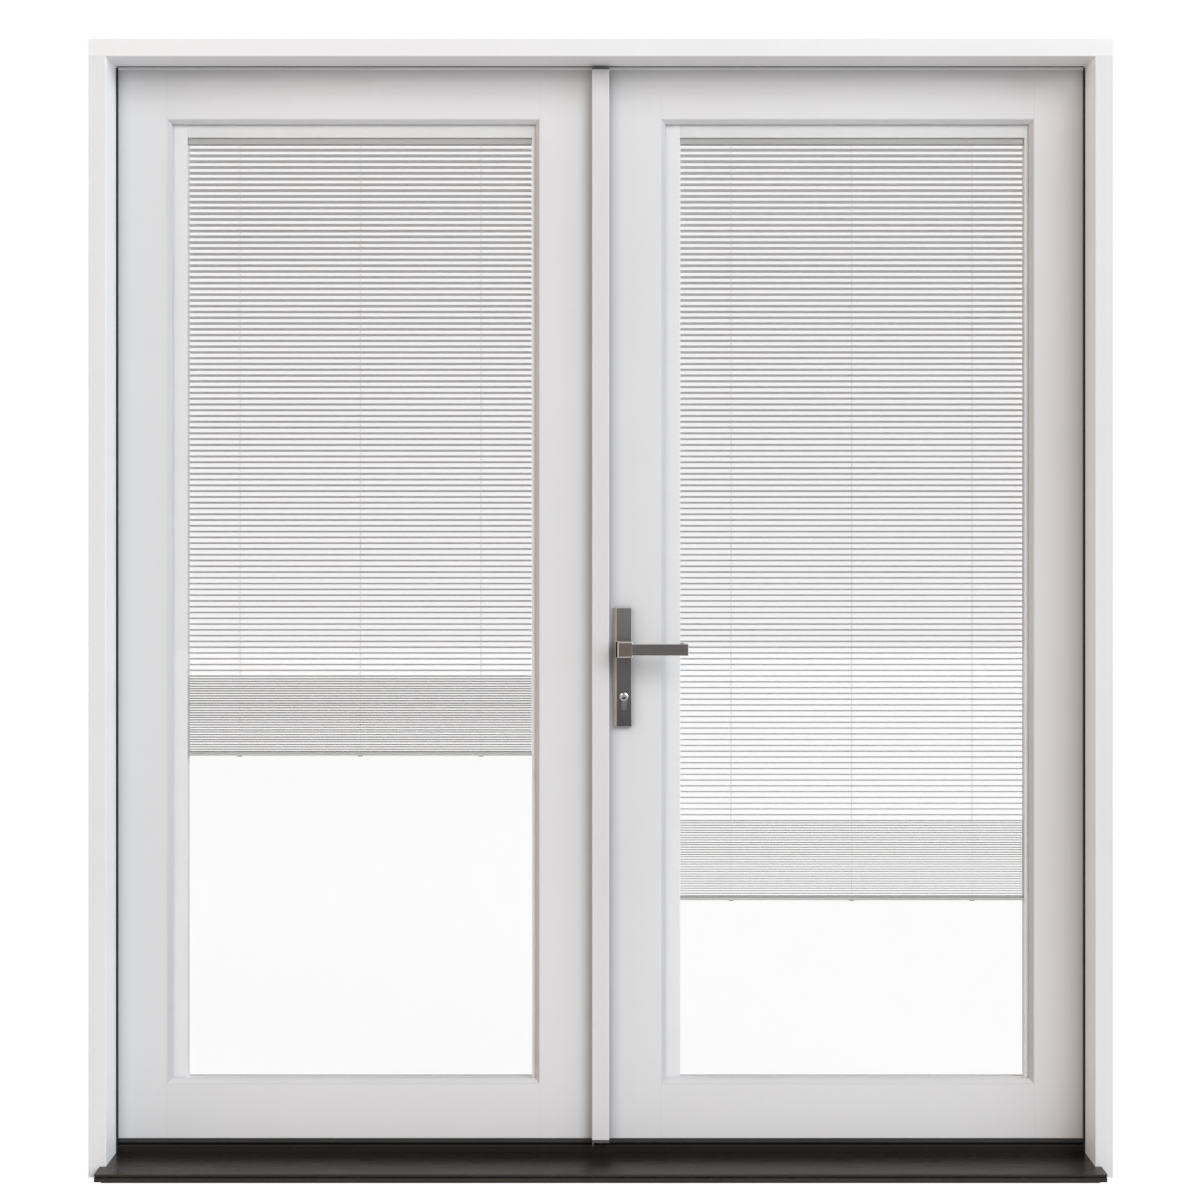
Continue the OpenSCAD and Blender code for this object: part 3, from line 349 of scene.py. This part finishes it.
def rod(bm, start, end, radius, segments=8, material=0):
    """Adds a closed round bar between two points."""
    a, b = Vector(start), Vector(end)
    turn = (b - a).to_track_quat("Z", "Y").to_matrix().to_4x4()
    made = bmesh.ops.create_cone(bm, cap_ends=True, segments=segments, radius1=radius,
                                 radius2=radius, depth=(b - a).length,
                                 matrix=Matrix.Translation((a + b) / 2) @ turn)
    for f in {f for v in made["verts"] for f in v.link_faces}:
        f.material_index = material


# ---------------------------------------------------------------- blinds
SLAT_W = 12.5 * MM
SLAT_T = 0.3 * MM
SLAT_CROWN = 0.8 * MM
SLAT_STEPS = 6
SLAT_PITCH = 10.5 * MM
SLAT_TOP_GAP = 4 * MM
SLAT_TILT = math.radians(10)
SLAT_LEAN = math.radians(3)  # what the lowest hanging slat tilts further than the highest
SLAT_SWAY = 0.9  # degrees that a slat may tilt more or less than the others
EXTRA_SLATS = 1  # one more than the CAD's, which lies on the gathered ones
PACK_PITCH = 4.4 * MM
PACK_SLACK = 0.4 * MM
PACK_COUNT = 31
PACK_TILT = math.radians(11.5)
PACK_SWAY = 0.7
LADDER_INSET = 92 * MM
STRING_R = 0.2 * MM
STRING_OUT = SLAT_W / 2 * math.cos(SLAT_TILT) + STRING_R + 0.4 * MM
RUNG_R = 0.15 * MM
LIFT_R = 0.18 * MM
# Shares of the drop where one group of hanging slats ends and the next begins: close together
# near both ends, where the blend between the leaf and the blind bends most
GROUP_ENDS = (0, 0.01, 0.03, 0.07, 0.15, 0.3, 0.5, 0.7, 0.85, 0.93, 0.97, 0.99, 1)


def slat(bm, side, y, z, tilt):
    """One crowned and tilted slat at a height: an edge spun to an arc and given its thickness.
    Its cut edges are bare metal, painted dark grey as painted shade that deepens the slats' lines."""
    low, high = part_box(f"{side}_hanging_slats")
    half = SLAT_W / 2
    radius = (half**2 + SLAT_CROWN**2) / (2 * SLAT_CROWN)
    reach = math.asin(half / radius)
    centre = Vector((0, y, z + SLAT_CROWN - radius))
    ends = [bm.verts.new((x, y, z + SLAT_CROWN)) for x in (low.x, high.x)]
    edge = bm.edges.new(ends)
    bmesh.ops.rotate(bm, verts=ends, cent=centre, matrix=Matrix.Rotation(-reach, 3, "X"))
    bmesh.ops.spin(bm, geom=[*ends, edge], cent=centre, axis=(1, 0, 0), angle=2 * reach,
                   steps=SLAT_STEPS, use_merge=False)
    bmesh.ops.recalc_face_normals(bm, faces=bm.faces)
    bmesh.ops.solidify(bm, geom=bm.faces[:], thickness=SLAT_T)
    bmesh.ops.recalc_face_normals(bm, faces=bm.faces)
    # The long cut edges get the dark grey: painted shade
    for f in bm.faces:
        f.material_index = 2 if abs(f.normal.y) > SQUARE_ON else 0
    bmesh.ops.rotate(bm, verts=bm.verts, cent=(0, y, z), matrix=Matrix.Rotation(-tilt, 3, "X"))


def repeat(bm, first, lifts, y, sway):
    """Repeats the slat at the first height at each lift, no two at quite the same tilt."""
    pattern = bm.verts[:] + bm.edges[:] + bm.faces[:]
    for lift in lifts:
        made = bmesh.ops.duplicate(bm, geom=pattern)["geom"]
        moved = [v for v in made if isinstance(v, bmesh.types.BMVert)]
        bmesh.ops.translate(bm, verts=moved, vec=(0, 0, lift))
        turn = Matrix.Rotation(math.radians(CHANCE.uniform(-sway, sway)), 3, "X")
        bmesh.ops.rotate(bm, verts=moved, cent=(0, y, first + lift), matrix=turn)


def ladder_xs(side):
    """The places of the three ladders across a blind."""
    low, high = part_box(f"{side}_headrail")
    return low.x + LADDER_INSET, (low.x + high.x) / 2, high.x - LADDER_INSET


def blind_drop(side):
    """The depth of the blind's middle, the foot of its head rail and the top of its gathered
    slats."""
    low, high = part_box(f"{side}_headrail")
    return (low.y + high.y) / 2, low.z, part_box(f"{side}_gathered_slats")[1].z


def hanging_slats(side):
    """The hanging slats and their ladders' rungs, in groups split at given shares of the drop
    between the head rail and the gathered slats; the lower a group, the more its slats lean."""
    node = f"{side}_hanging_slats"
    low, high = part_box(node)
    y, head, gathered = blind_drop(side)
    gaps = round((high.z - low.z - SLAT_W * math.sin(SLAT_TILT)) / SLAT_PITCH)
    heights = [head - SLAT_TOP_GAP - (i + 0.5) * SLAT_PITCH
               for i in range(gaps + 1 + EXTRA_SLATS)]
    for n, (f0, f1) in enumerate(zip(GROUP_ENDS, GROUP_ENDS[1:])):
        mine = [z for z in heights if f0 <= (head - z) / (head - gathered) < f1]
        if not mine:
            continue
        bm = bmesh.new()
        slat(bm, side, y, mine[0], SLAT_TILT + SLAT_LEAN * f0)
        for x in ladder_xs(side):
            z = mine[0] - RUNG_R
            rod(bm, (x, y - STRING_OUT, z), (x, y + STRING_OUT, z), RUNG_R, 4, 1)
        repeat(bm, mine[0], [z - mine[0] for z in mine[1:]], y, SLAT_SWAY)
        piece = dress(f"{side}_slats_{n + 1}", bm, [SLAT, CORD, SLAT_EDGE_PAINTED_SHADE], nodes=[node])
        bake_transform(piece)


def ladder_strings(side):
    """The two strings of each ladder and the lift cord between them, from the head rail to
    the gathered slats."""
    y, head, gathered = blind_drop(side)
    bm = bmesh.new()
    for x in ladder_xs(side):
        for at, r in ((-STRING_OUT, STRING_R), (0, LIFT_R), (STRING_OUT, STRING_R)):
            rod(bm, (x, y + at, gathered), (x, y + at, head), r)
    piece = dress(f"{side}_ladder_strings", bm, [CORD], nodes=[f"{side}_ladder_cords"])
    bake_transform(piece)


def gathered_slats(side):
    """The slats that lie gathered on the bottom bar, the lift cords through them."""
    node = f"{side}_gathered_slats"
    low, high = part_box(node)
    y = (low.y + high.y) / 2
    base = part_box(f"{side}_bottom_bar")[1].z
    first = base + PACK_PITCH / 2
    bm = bmesh.new()
    slat(bm, side, y, first, PACK_TILT)
    lifts = [i * PACK_PITCH + CHANCE.uniform(-PACK_SLACK, PACK_SLACK)
             for i in range(1, PACK_COUNT)]
    repeat(bm, first, lifts, y, PACK_SWAY)
    for x in ladder_xs(side):
        rod(bm, (x, y, base), (x, y, high.z), LIFT_R, 8, 1)
    dress(f"{side}_slat_pack", bm, [SLAT, CORD, SLAT_EDGE_PAINTED_SHADE], f"{side}_blind", [node])


for side in SIDES:
    hanging_slats(side)
    ladder_strings(side)
    gathered_slats(side)

# ---------------------------------------------------------------- handle set
AXIS_X = 42 * MM
LEVER_Z = 932 * MM
CYLINDER_Z = 847 * MM
OUTDOORS, INDOORS = -1, 1
PLATE_STRIP = 4.8 * MM
PLATE_BOW = 1.9 * MM
PLATE_CUTS = 15
STRIP_FOOT = 1.2 * MM  # what the strip still stands proud at its outer edge
PLATE_ROUND = 0.55 * MM
COLLAR_W = 31.4 * MM
COLLAR_DEPTH = 3 * MM
COLLAR_ROUND = 0.8 * MM
HUB_REACH = (-11.8 * MM, 15 * MM)
HUB_HALF = 13.6 * MM
HUB_SINK = 0.4 * MM
HUB_ROUND = 1.5 * MM
BAR_HALF = 10.5 * MM
BAR_DEPTH = 10 * MM
BAR_SINK = 2 * MM
BAR_ROUND = 0.8 * MM


def back_plate(node, out):
    """A handle plate: a flat brushed front, and a bowed sloping strip down its lock side."""
    low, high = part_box(node)
    front, back = (low.y, high.y) if out == OUTDOORS else (high.y, low.y)
    bm = bmesh.new()
    block(bm, (low.x + PLATE_STRIP, low.y, low.z), high)
    upright = [e for e in bm.edges if abs(e.verts[0].co.z - e.verts[1].co.z) > 1 * MM]
    bmesh.ops.subdivide_edges(bm, edges=upright, cuts=PLATE_CUTS, use_grid_fill=True)
    side = [f for f in bm.faces if f.normal.x < -SQUARE_ON]
    slope = bmesh.ops.extrude_face_region(bm, geom=side)["geom"]
    bmesh.ops.delete(bm, geom=side, context="FACES_ONLY")
    for v in (g for g in slope if isinstance(g, bmesh.types.BMVert)):
        height = (2 * v.co.z - low.z - high.z) / (high.z - low.z)
        v.co.x = low.x - PLATE_BOW * (1 - height**2)
        if abs(v.co.y - front) < 0.1 * MM:
            v.co.y = back + out * STRIP_FOOT
    bm.normal_update()
    # The sloping strip and the rounded rim get the warm light tone: painted highlight
    for f in bm.faces:
        if f.normal.x < -0.3:
            f.material_index = 1
    rim = [e for e in corners(bm) if all(abs(v.co.y - back) > 0.3 * MM for v in e.verts)]
    for f in ease_edges(bm, rim, PLATE_ROUND):
        f.material_index = 1
    bmesh.ops.recalc_face_normals(bm, faces=bm.faces)
    dress(node + "_brushed", bm, [PLATE_METAL, EDGE_PAINTED_HIGHLIGHT], body_of(node), [node])


def lever(node, plate, out):
    """A lever: a collar on the plate in painted shade, a square hub and a flat bar, all with
    rounded edges in a painted highlight.
    """
    low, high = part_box(node)
    face, tip = (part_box(plate)[0].y, low.y) if out == OUTDOORS else (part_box(plate)[1].y, high.y)
    hub_x0, hub_x1 = (AXIS_X + reach for reach in HUB_REACH)
    bm = bmesh.new()
    # The collar's face is painted shade, and every rounded edge gets the painted highlight
    for x0, x1, y0, y1, z0, z1, width, material in (
            (low.x, low.x + COLLAR_W, face, face + out * COLLAR_DEPTH, low.z, high.z,
             COLLAR_ROUND, 3),
            (hub_x0, hub_x1, face + out * (COLLAR_DEPTH - HUB_SINK), tip,
             LEVER_Z - HUB_HALF, LEVER_Z + HUB_HALF, HUB_ROUND, 2),
            (hub_x1 - BAR_SINK, high.x, tip, tip - out * BAR_DEPTH,
             LEVER_Z - BAR_HALF, LEVER_Z + BAR_HALF, BAR_ROUND, 0)):
        block(bm, (x0, min(y0, y1), z0), (x1, max(y0, y1), z1), width, material, 1)
    bmesh.ops.recalc_face_normals(bm, faces=bm.faces)
    dress(node + "_brushed", bm, [LEVER_METAL, EDGE_PAINTED_HIGHLIGHT, HUB_METAL, COLLAR_PAINTED_SHADE],
          "handle", [node])


back_plate("outer_plate", OUTDOORS)
back_plate("inner_plate", INDOORS)
lever("outer_lever", "outer_plate", OUTDOORS)
lever("inner_lever", "inner_plate", INDOORS)

# ---------------------------------------------------------------- beads, spacers, kerf and sill
BEAD_ROUND = 0.25 * MM
SPACER_ROUND = 0.2 * MM
TOP_SPACER_H = 32 * MM
NOSING_TOP = 16.8 * MM
GROOVE = (NOSING_TOP - 6.6 * MM, NOSING_TOP - 2.6 * MM)
GROOVE_DEPTH = 3 * MM
SILL_ROUND = 0.5 * MM
KERF_OUT, KERF_IN = 1.6 * MM, 0.2 * MM
KERF_DOWN, KERF_UP = 1.3 * MM, 0.4 * MM
KERF_ROUND = 0.2 * MM


def edge_strips(side):
    """The outer beads, with painted shade where they slope sideways, and the spacers, with painted
    shade at the top.
    """
    # The bead faces that slope sideways get the darker copy of the PVC: painted shade
    eased(f"{side}_outer_beads", BEAD_ROUND, [BEAD_PVC, BEAD_SIDE_PAINTED_SHADE],
          lambda f: abs(f.normal.x) > 0.3 and f.normal.y < 0.3)
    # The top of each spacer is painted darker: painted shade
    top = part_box(f"{side}_spacer_bars")[1].z - TOP_SPACER_H
    eased(f"{side}_spacer_bars", SPACER_ROUND, [SPACER, SPACER_TOP_PAINTED_SHADE],
          lambda f: f.calc_center_median().z > top)


def head_kerf():
    """A black block along the head's weatherstrip: painted shade standing in for the shadow in the
    kerf that holds the strip, seen as a line along the strip.
    """
    low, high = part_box("head_weatherstrip")
    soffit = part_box("head_jamb")[0].z
    bm = bmesh.new()
    block(bm, (low.x, low.y - KERF_OUT, soffit - KERF_DOWN),
          (high.x, low.y + KERF_IN, soffit + KERF_UP), KERF_ROUND)
    bmesh.ops.recalc_face_normals(bm, faces=bm.faces)
    dress("head_kerf", bm, [BLACK_SEAL], "frame")


def sill_deck():
    """The sloping sill, with the drip groove along its front edge."""
    bm = clean_copy("sill_deck")
    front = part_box("sill_deck")[0].y
    for z in GROOVE:
        bmesh.ops.bisect_plane(bm, geom=bm.verts[:] + bm.edges[:] + bm.faces[:], dist=1e-6,
                               plane_co=(0, 0, z), plane_no=(0, 0, 1))
    nosing = [f for f in bm.faces
              if f.normal.y < -SQUARE_ON and abs(f.calc_center_median().y - front) < 1 * MM]
    strip = [f for f in nosing if GROOVE[0] < f.calc_center_median().z < GROOVE[1]]
    pushed = bmesh.ops.extrude_face_region(bm, geom=strip)["geom"]
    bmesh.ops.delete(bm, geom=strip, context="FACES_ONLY")
    verts = [v for v in pushed if isinstance(v, bmesh.types.BMVert)]
    bmesh.ops.translate(bm, verts=verts, vec=(0, GROOVE_DEPTH, 0))
    bmesh.ops.recalc_face_normals(bm, faces=bm.faces)
    ease_edges(bm, corners(bm), SILL_ROUND)
    dress("sill_deck_grooved", bm, [BRONZE], "frame", ["sill_deck"])


# ---------------------------------------------------------------- key plug
PLUG_R = 7.3
PLUG_STEPS = ((PLUG_R, 0.9), (5.6, 1.9), (4.9, 1.9), (1.6, 1.3))  # radius and rise, in mm
PLUG_SINK = 0.2 * MM
KEYWAY_HALF = 0.7 * MM
KEYWAY_DEPTH = 2.1 * MM
KEYWAY_DOWN, KEYWAY_UP = 4.2 * MM, 3.4 * MM
KEYWAY_ROUND = 0.1 * MM


def key_plug():
    """The outdoor face of the key plug: a chamfered ring round a dished face, with its keyway drawn
    as a black block that is painted shade for the keyway's dark slot.
    """
    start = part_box("lock_cylinder")[0].y + PLUG_SINK
    bm = bmesh.new()
    circle = bmesh.ops.create_circle(bm, cap_ends=False, segments=48, radius=PLUG_R * MM)
    ring = list({e for v in circle["verts"] for e in v.link_edges})
    for radius, rise in PLUG_STEPS:
        step = bmesh.ops.extrude_edge_only(bm, edges=ring)["geom"]
        ring = [g for g in step if isinstance(g, bmesh.types.BMEdge)]
        for v in (g for g in step if isinstance(g, bmesh.types.BMVert)):
            flat = Vector((v.co.x, v.co.y, 0)).normalized() * radius * MM
            v.co = (flat.x, flat.y, rise * MM)
    bmesh.ops.contextual_create(bm, geom=ring)
    bmesh.ops.contextual_create(bm, geom=[e for e in bm.edges if e.is_boundary])
    turn = Matrix.Rotation(math.radians(90), 4, "X")
    bmesh.ops.transform(bm, matrix=Matrix.Translation((AXIS_X, start, CYLINDER_Z)) @ turn,
                        verts=bm.verts)
    # The keyway is a black block: painted shade for its slot
    block(bm, (AXIS_X - KEYWAY_HALF, start - KEYWAY_DEPTH, CYLINDER_Z - KEYWAY_DOWN),
          (AXIS_X + KEYWAY_HALF, start, CYLINDER_Z + KEYWAY_UP), KEYWAY_ROUND, 1)
    bmesh.ops.recalc_face_normals(bm, faces=bm.faces)
    dress("key_plug_face", bm, [CHROME, BLACK_SEAL], "cylinder")


for side in SIDES:
    edge_strips(side)
head_kerf()
sill_deck()
key_plug()

# ---------------------------------------------------------------- screws and sliders
HINGE_ZS = (379 * MM, 1070.25 * MM, 1761.5 * MM)
HINGE_SCREWS = (-37 * MM, -13 * MM, 13 * MM, 37 * MM)  # heights from a hinge's middle
HINGE_GAP = 2.7 * MM
LEAF_SCREW_YS = (32 * MM, 46 * MM)
FRAME_SCREW_Y = 40.14 * MM
LEAF_SCREW_R, FRAME_SCREW_R = 4.1 * MM, 4.3 * MM
STILE_EDGE_X = 2 * MM
FACEPLATE_SCREW_ZS = (797 * MM, 993 * MM)
FACEPLATE_SCREW_R = 3 * MM
PLATE_SCREW_ZS = (807 * MM, 993 * MM)
PLATE_SCREW_R = 4.6 * MM
HEAD_RISE = 0.25 * MM
HEAD_CROWN = 0.05 * MM
HEAD_RIM, HEAD_FLAT = 0.12, 0.42  # shares of the head's radius
RECESS_WALL = 0.05 * MM
RECESS_DEPTH = 0.25 * MM
SLIDER_ROUND = 1.2 * MM
RIB_ROUND = 0.5 * MM
RIBS_EACH_WAY = 3
RIB_PITCH = 4 * MM
RIB_HALF = 0.9 * MM
RIB_INSET = 2.5 * MM
RIB_RISE = 1.6 * MM
RIB_ROOT = 3 * MM


def screw_heads(name, body, spots, out, radius, metal):
    """Countersunk screw heads that stand a hair proud of their plate, each with its recess, whose
    floor is black as painted shade for the recess's hollow.
    """
    bm = bmesh.new()
    out = Vector(out)
    turn = out.to_track_quat("Z", "Y").to_matrix().to_4x4()
    for at in spots:
        made = bmesh.ops.create_circle(bm, cap_ends=True, segments=20, radius=radius,
                                       matrix=Matrix.Translation(at) @ turn)
        foot = made["verts"][0].link_faces[0]
        grown = bmesh.ops.extrude_face_region(bm, geom=[foot])["geom"]
        face = next(g for g in grown if isinstance(g, bmesh.types.BMFace))
        bmesh.ops.translate(bm, verts=face.verts, vec=out * HEAD_RISE)
        bmesh.ops.inset_region(bm, faces=[face], thickness=radius * HEAD_RIM)
        bmesh.ops.translate(bm, verts=face.verts, vec=out * HEAD_CROWN)
        bmesh.ops.inset_region(bm, faces=[face], thickness=radius * HEAD_FLAT)
        bmesh.ops.inset_region(bm, faces=[face], thickness=RECESS_WALL)
        bmesh.ops.translate(bm, verts=face.verts, vec=-out * RECESS_DEPTH)
        # The recess floor is black: painted shade
        face.material_index = 1
    bmesh.ops.recalc_face_normals(bm, faces=bm.faces)
    dress(name, bm, [metal, BLACK_SEAL], body)


def slider(side):
    """The blind's slider: a moulded block with grip ribs across its face."""
    low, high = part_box(f"{side}_blind_slider")
    middle = (low + high) / 2
    bm = bmesh.new()
    block(bm, low, (high.x, high.y - RIB_RISE, high.z), SLIDER_ROUND)
    for i in range(-RIBS_EACH_WAY, RIBS_EACH_WAY + 1):
        z = middle.z + i * RIB_PITCH
        block(bm, (low.x + RIB_INSET, high.y - RIB_ROOT, z - RIB_HALF),
              (high.x - RIB_INSET, high.y, z + RIB_HALF), RIB_ROUND)
    bmesh.ops.recalc_face_normals(bm, faces=bm.faces)
    dress(f"{side}_slider_ribbed", bm, [SLIDER], f"{side}_slider",
          [f"{side}_blind_slider"])


for side, sign in zip(SIDES, (-1, 1)):
    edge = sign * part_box("right_hinge_stile")[1].x
    rabbet = edge + sign * HINGE_GAP
    screw_heads(f"{side}_leaf_hinge_screws", f"{side}_leaf",
                [(edge, LEAF_SCREW_YS[i % 2], z + dz) for z in HINGE_ZS
                 for i, dz in enumerate(HINGE_SCREWS)], (sign, 0, 0), LEAF_SCREW_R, NICKEL)
    screw_heads(f"{side}_frame_hinge_screws", "frame",
                [(rabbet, FRAME_SCREW_Y, z + dz) for z in HINGE_ZS for dz in HINGE_SCREWS],
                (-sign, 0, 0), FRAME_SCREW_R, NICKEL)
    slider(side)
low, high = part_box("lock_faceplate")
screw_heads("faceplate_screws", "right_leaf",
            [(STILE_EDGE_X, (low.y + high.y) / 2, z) for z in FACEPLATE_SCREW_ZS],
            (-1, 0, 0), FACEPLATE_SCREW_R, ZINC)
plate_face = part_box("inner_plate")[1].y
screw_heads("inner_plate_screws", "right_leaf",
            [(AXIS_X, plate_face, z) for z in PLATE_SCREW_ZS],
            (0, 1, 0), PLATE_SCREW_R, ZINC)

# ---------------------------------------------------------------- the CAD pieces' finishes
# Each node's finish, and the round of its corners in mm: without one it keeps its own mesh
FINISHES = {
    "head_jamb": (FRAME_PAINT, 1.0), "left_jamb": (FRAME_PAINT, 1.0),
    "right_jamb": (FRAME_PAINT, 1.0), "sill_riser": (RISER, 0.4), "sill_core": (SILL_CORE, 0),
    "head_weatherstrip": (GREY_SEAL, 0.5), "jamb_weatherstrips": (BLACK_SEAL, 0.5),
    "hinge_frame_plates": (NICKEL, 0.3), "hinge_pins": (NICKEL, 0.8),
    "hinge_screws": (NICKEL, 0), "bolt_keepers": (NICKEL, 0.3),
    "astragal": (ASTRAGAL_PAINT, 0.3), "astragal_seals": (ASTRAGAL_SEAL, 0.4),
    "strike_plate": (ZINC, 0.2), "top_flush_bolt": (ZINC, 0.5),
    "bottom_flush_bolt": (ZINC, 0.5), "lock_case": (ZINC, 0), "lock_faceplate": (ZINC, 0.2),
    "latch_bolt": (ZINC, 0.4), "deadbolt": (ZINC, 0.4), "lock_cylinder": (CYLINDER_METAL, 0.2),
    "cylinder_turn": (CHROME, 0.3), "plate_screws": (ZINC, 0),
}
LEAF_FINISHES = {
    "hinge_stile": (LEAF_PAINT, 0.25), "lock_stile": (LEAF_PAINT, 0.25),
    "top_rail": (LEAF_PAINT, 0.25), "bottom_rail": (LEAF_PAINT, 0.25),
    "inner_beads": (BEAD_PVC, 0.25), "glass_panes": (GLASS, 0), "headrail": (RAIL, 0.5),
    "bottom_bar": (BAR, 0.5), "door_sweep": (BLACK_SWEEP, 0.3), "hinge_plates": (NICKEL, 0.3),
}
for side in SIDES:
    FINISHES.update({f"{side}_{part}": look for part, look in LEAF_FINISHES.items()})
for node, (material, width) in FINISHES.items():
    if width:
        eased(node, width * MM, [material])
    else:
        mesh = frame["nodes"][node].data
        mesh.materials.clear()
        mesh.materials.append(material)

# ---------------------------------------------------------------- floor, light and camera
FRONT_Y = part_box("left_jamb")[0].y
FLOOR_HALF = 60.0
FLOOR_GLOW = 1.12
FLOOR_GLOW_SHARE = 0.9  # the rest is what light falls on the floor
BACKDROP_GLOW = 1.045
ROOM_GLOW = 0.13
LAMP_AIM_Z = 1.0
EYE_Z = 0.985
EYE_DISTANCE = 3.3
HALF_VIEW = 1.06
SENSOR_MM = 36.0
SHIFT = (-0.0005, 0.0167)


def floor():
    """A wide pale floor, as bright to the eye as the backdrop."""
    made, tree, out = new_material("pale_floor")
    seen = add(tree, "LightPath").outputs["Is Camera Ray"]
    share = add(tree, "Math", {0: seen, 1: FLOOR_GLOW_SHARE}, operation="MULTIPLY")
    matt = add(tree, "BsdfDiffuse", {"Color": linear("#f4f4f4")})
    glow = add(tree, "Emission", {"Color": linear("#ffffff"), "Strength": FLOOR_GLOW})
    shader = add(tree, "MixShader", {"Fac": share.outputs["Value"], 1: matt.outputs["BSDF"],
                                     2: glow.outputs["Emission"]})
    tree.links.new(shader.outputs["Shader"], out.inputs["Surface"])
    bm = bmesh.new()
    bmesh.ops.create_grid(bm, x_segments=1, y_segments=1, size=FLOOR_HALF)
    mesh = bpy.data.meshes.new("floor")
    bm.to_mesh(mesh)
    bm.free()
    mesh.materials.append(made)
    piece = bpy.data.objects.new("floor", mesh)
    bpy.context.scene.collection.objects.link(piece)


def world():
    """White to the eye, and a soft grey room to everything that is lit by it."""
    studio = bpy.data.worlds.new("studio")
    bpy.context.scene.world = studio
    studio.use_nodes = True
    tree = studio.node_tree
    tree.nodes.clear()
    seen = add(tree, "LightPath").outputs["Is Camera Ray"]
    room = add(tree, "Background", {"Color": linear("#e6e3e0"), "Strength": ROOM_GLOW})
    backdrop = add(tree, "Background", {"Color": linear("#ffffff"), "Strength": BACKDROP_GLOW})
    mix = add(tree, "MixShader", {"Fac": seen, 1: room.outputs["Background"],
                                  2: backdrop.outputs["Background"]})
    add(tree, "OutputWorld", {"Surface": mix.outputs["Shader"]})


def softbox(name, azimuth, elevation, distance, size, power, colour, unlit=()):
    """A square area light that faces the doors from a direction seen from outdoors, positive
    to the right. It lights neither the panes, which would mirror it, nor the pieces whose
    names start as given."""
    a, e = math.radians(azimuth), math.radians(elevation)
    away = Vector((math.sin(a) * math.cos(e), -math.cos(a) * math.cos(e), math.sin(e)))
    light = bpy.data.lights.new(name, "AREA")
    light.size = size
    light.energy = power
    light.color = linear(colour)[:3]
    lamp = bpy.data.objects.new(name, light)
    lamp.location = Vector((0, FRONT_Y, LAMP_AIM_Z)) + away * distance
    lamp.rotation_mode = "QUATERNION"
    lamp.rotation_quaternion = away.to_track_quat("Z", "Y")
    bpy.context.scene.collection.objects.link(lamp)
    keep_out = bpy.data.collections.new(name + "_keep_out")
    panes = tuple(f"{side}_glass_panes" for side in SIDES)
    for piece in bpy.data.objects:
        if piece.name.startswith(panes + unlit):
            keep_out.objects.link(piece)
    lamp.light_linking.receiver_collection = keep_out
    for member in keep_out.collection_objects:
        member.light_linking.link_state = "EXCLUDE"


def camera():
    """The camera stands square to the doors, at half their height."""
    lens = bpy.data.cameras.new("camera")
    lens.sensor_width = SENSOR_MM
    lens.lens = SENSOR_MM / 2 * EYE_DISTANCE / HALF_VIEW
    lens.shift_x, lens.shift_y = SHIFT
    eye = bpy.data.objects.new("camera", lens)
    eye.location = (0, FRONT_Y - EYE_DISTANCE, EYE_Z)
    eye.rotation_euler = (math.radians(90), 0, 0)
    bpy.context.scene.collection.objects.link(eye)
    bpy.context.scene.camera = eye


floor()
world()
# The two lamps of the room side leave the floor dark, so that it throws no light up under the
# slats, and the stronger leaves out the slats too. The side lamps spare the jamb beside them
softbox("key", 36, 30, 60.0, 36.0, 21700, "#f1f8fc")
softbox("fill", -34, 28, 60.0, 36.0, 7550, "#fff0e4")
softbox("room_key", 148, 26, 60.0, 24.0, 14500, "#f6f9fc", ("floor", "left_slat", "right_slat"))
softbox("room_fill", -146, 24, 60.0, 24.0, 9000, "#fff6ee", ("floor",))
softbox("right_side", 72, 6, 10.0, 4.0, 300, "#f1f8fc", ("right_jamb",))
softbox("left_side", -72, 6, 10.0, 4.0, 210, "#fff4e8", ("left_jamb",))
camera()
bpy.context.scene.view_settings.view_transform = "Standard"
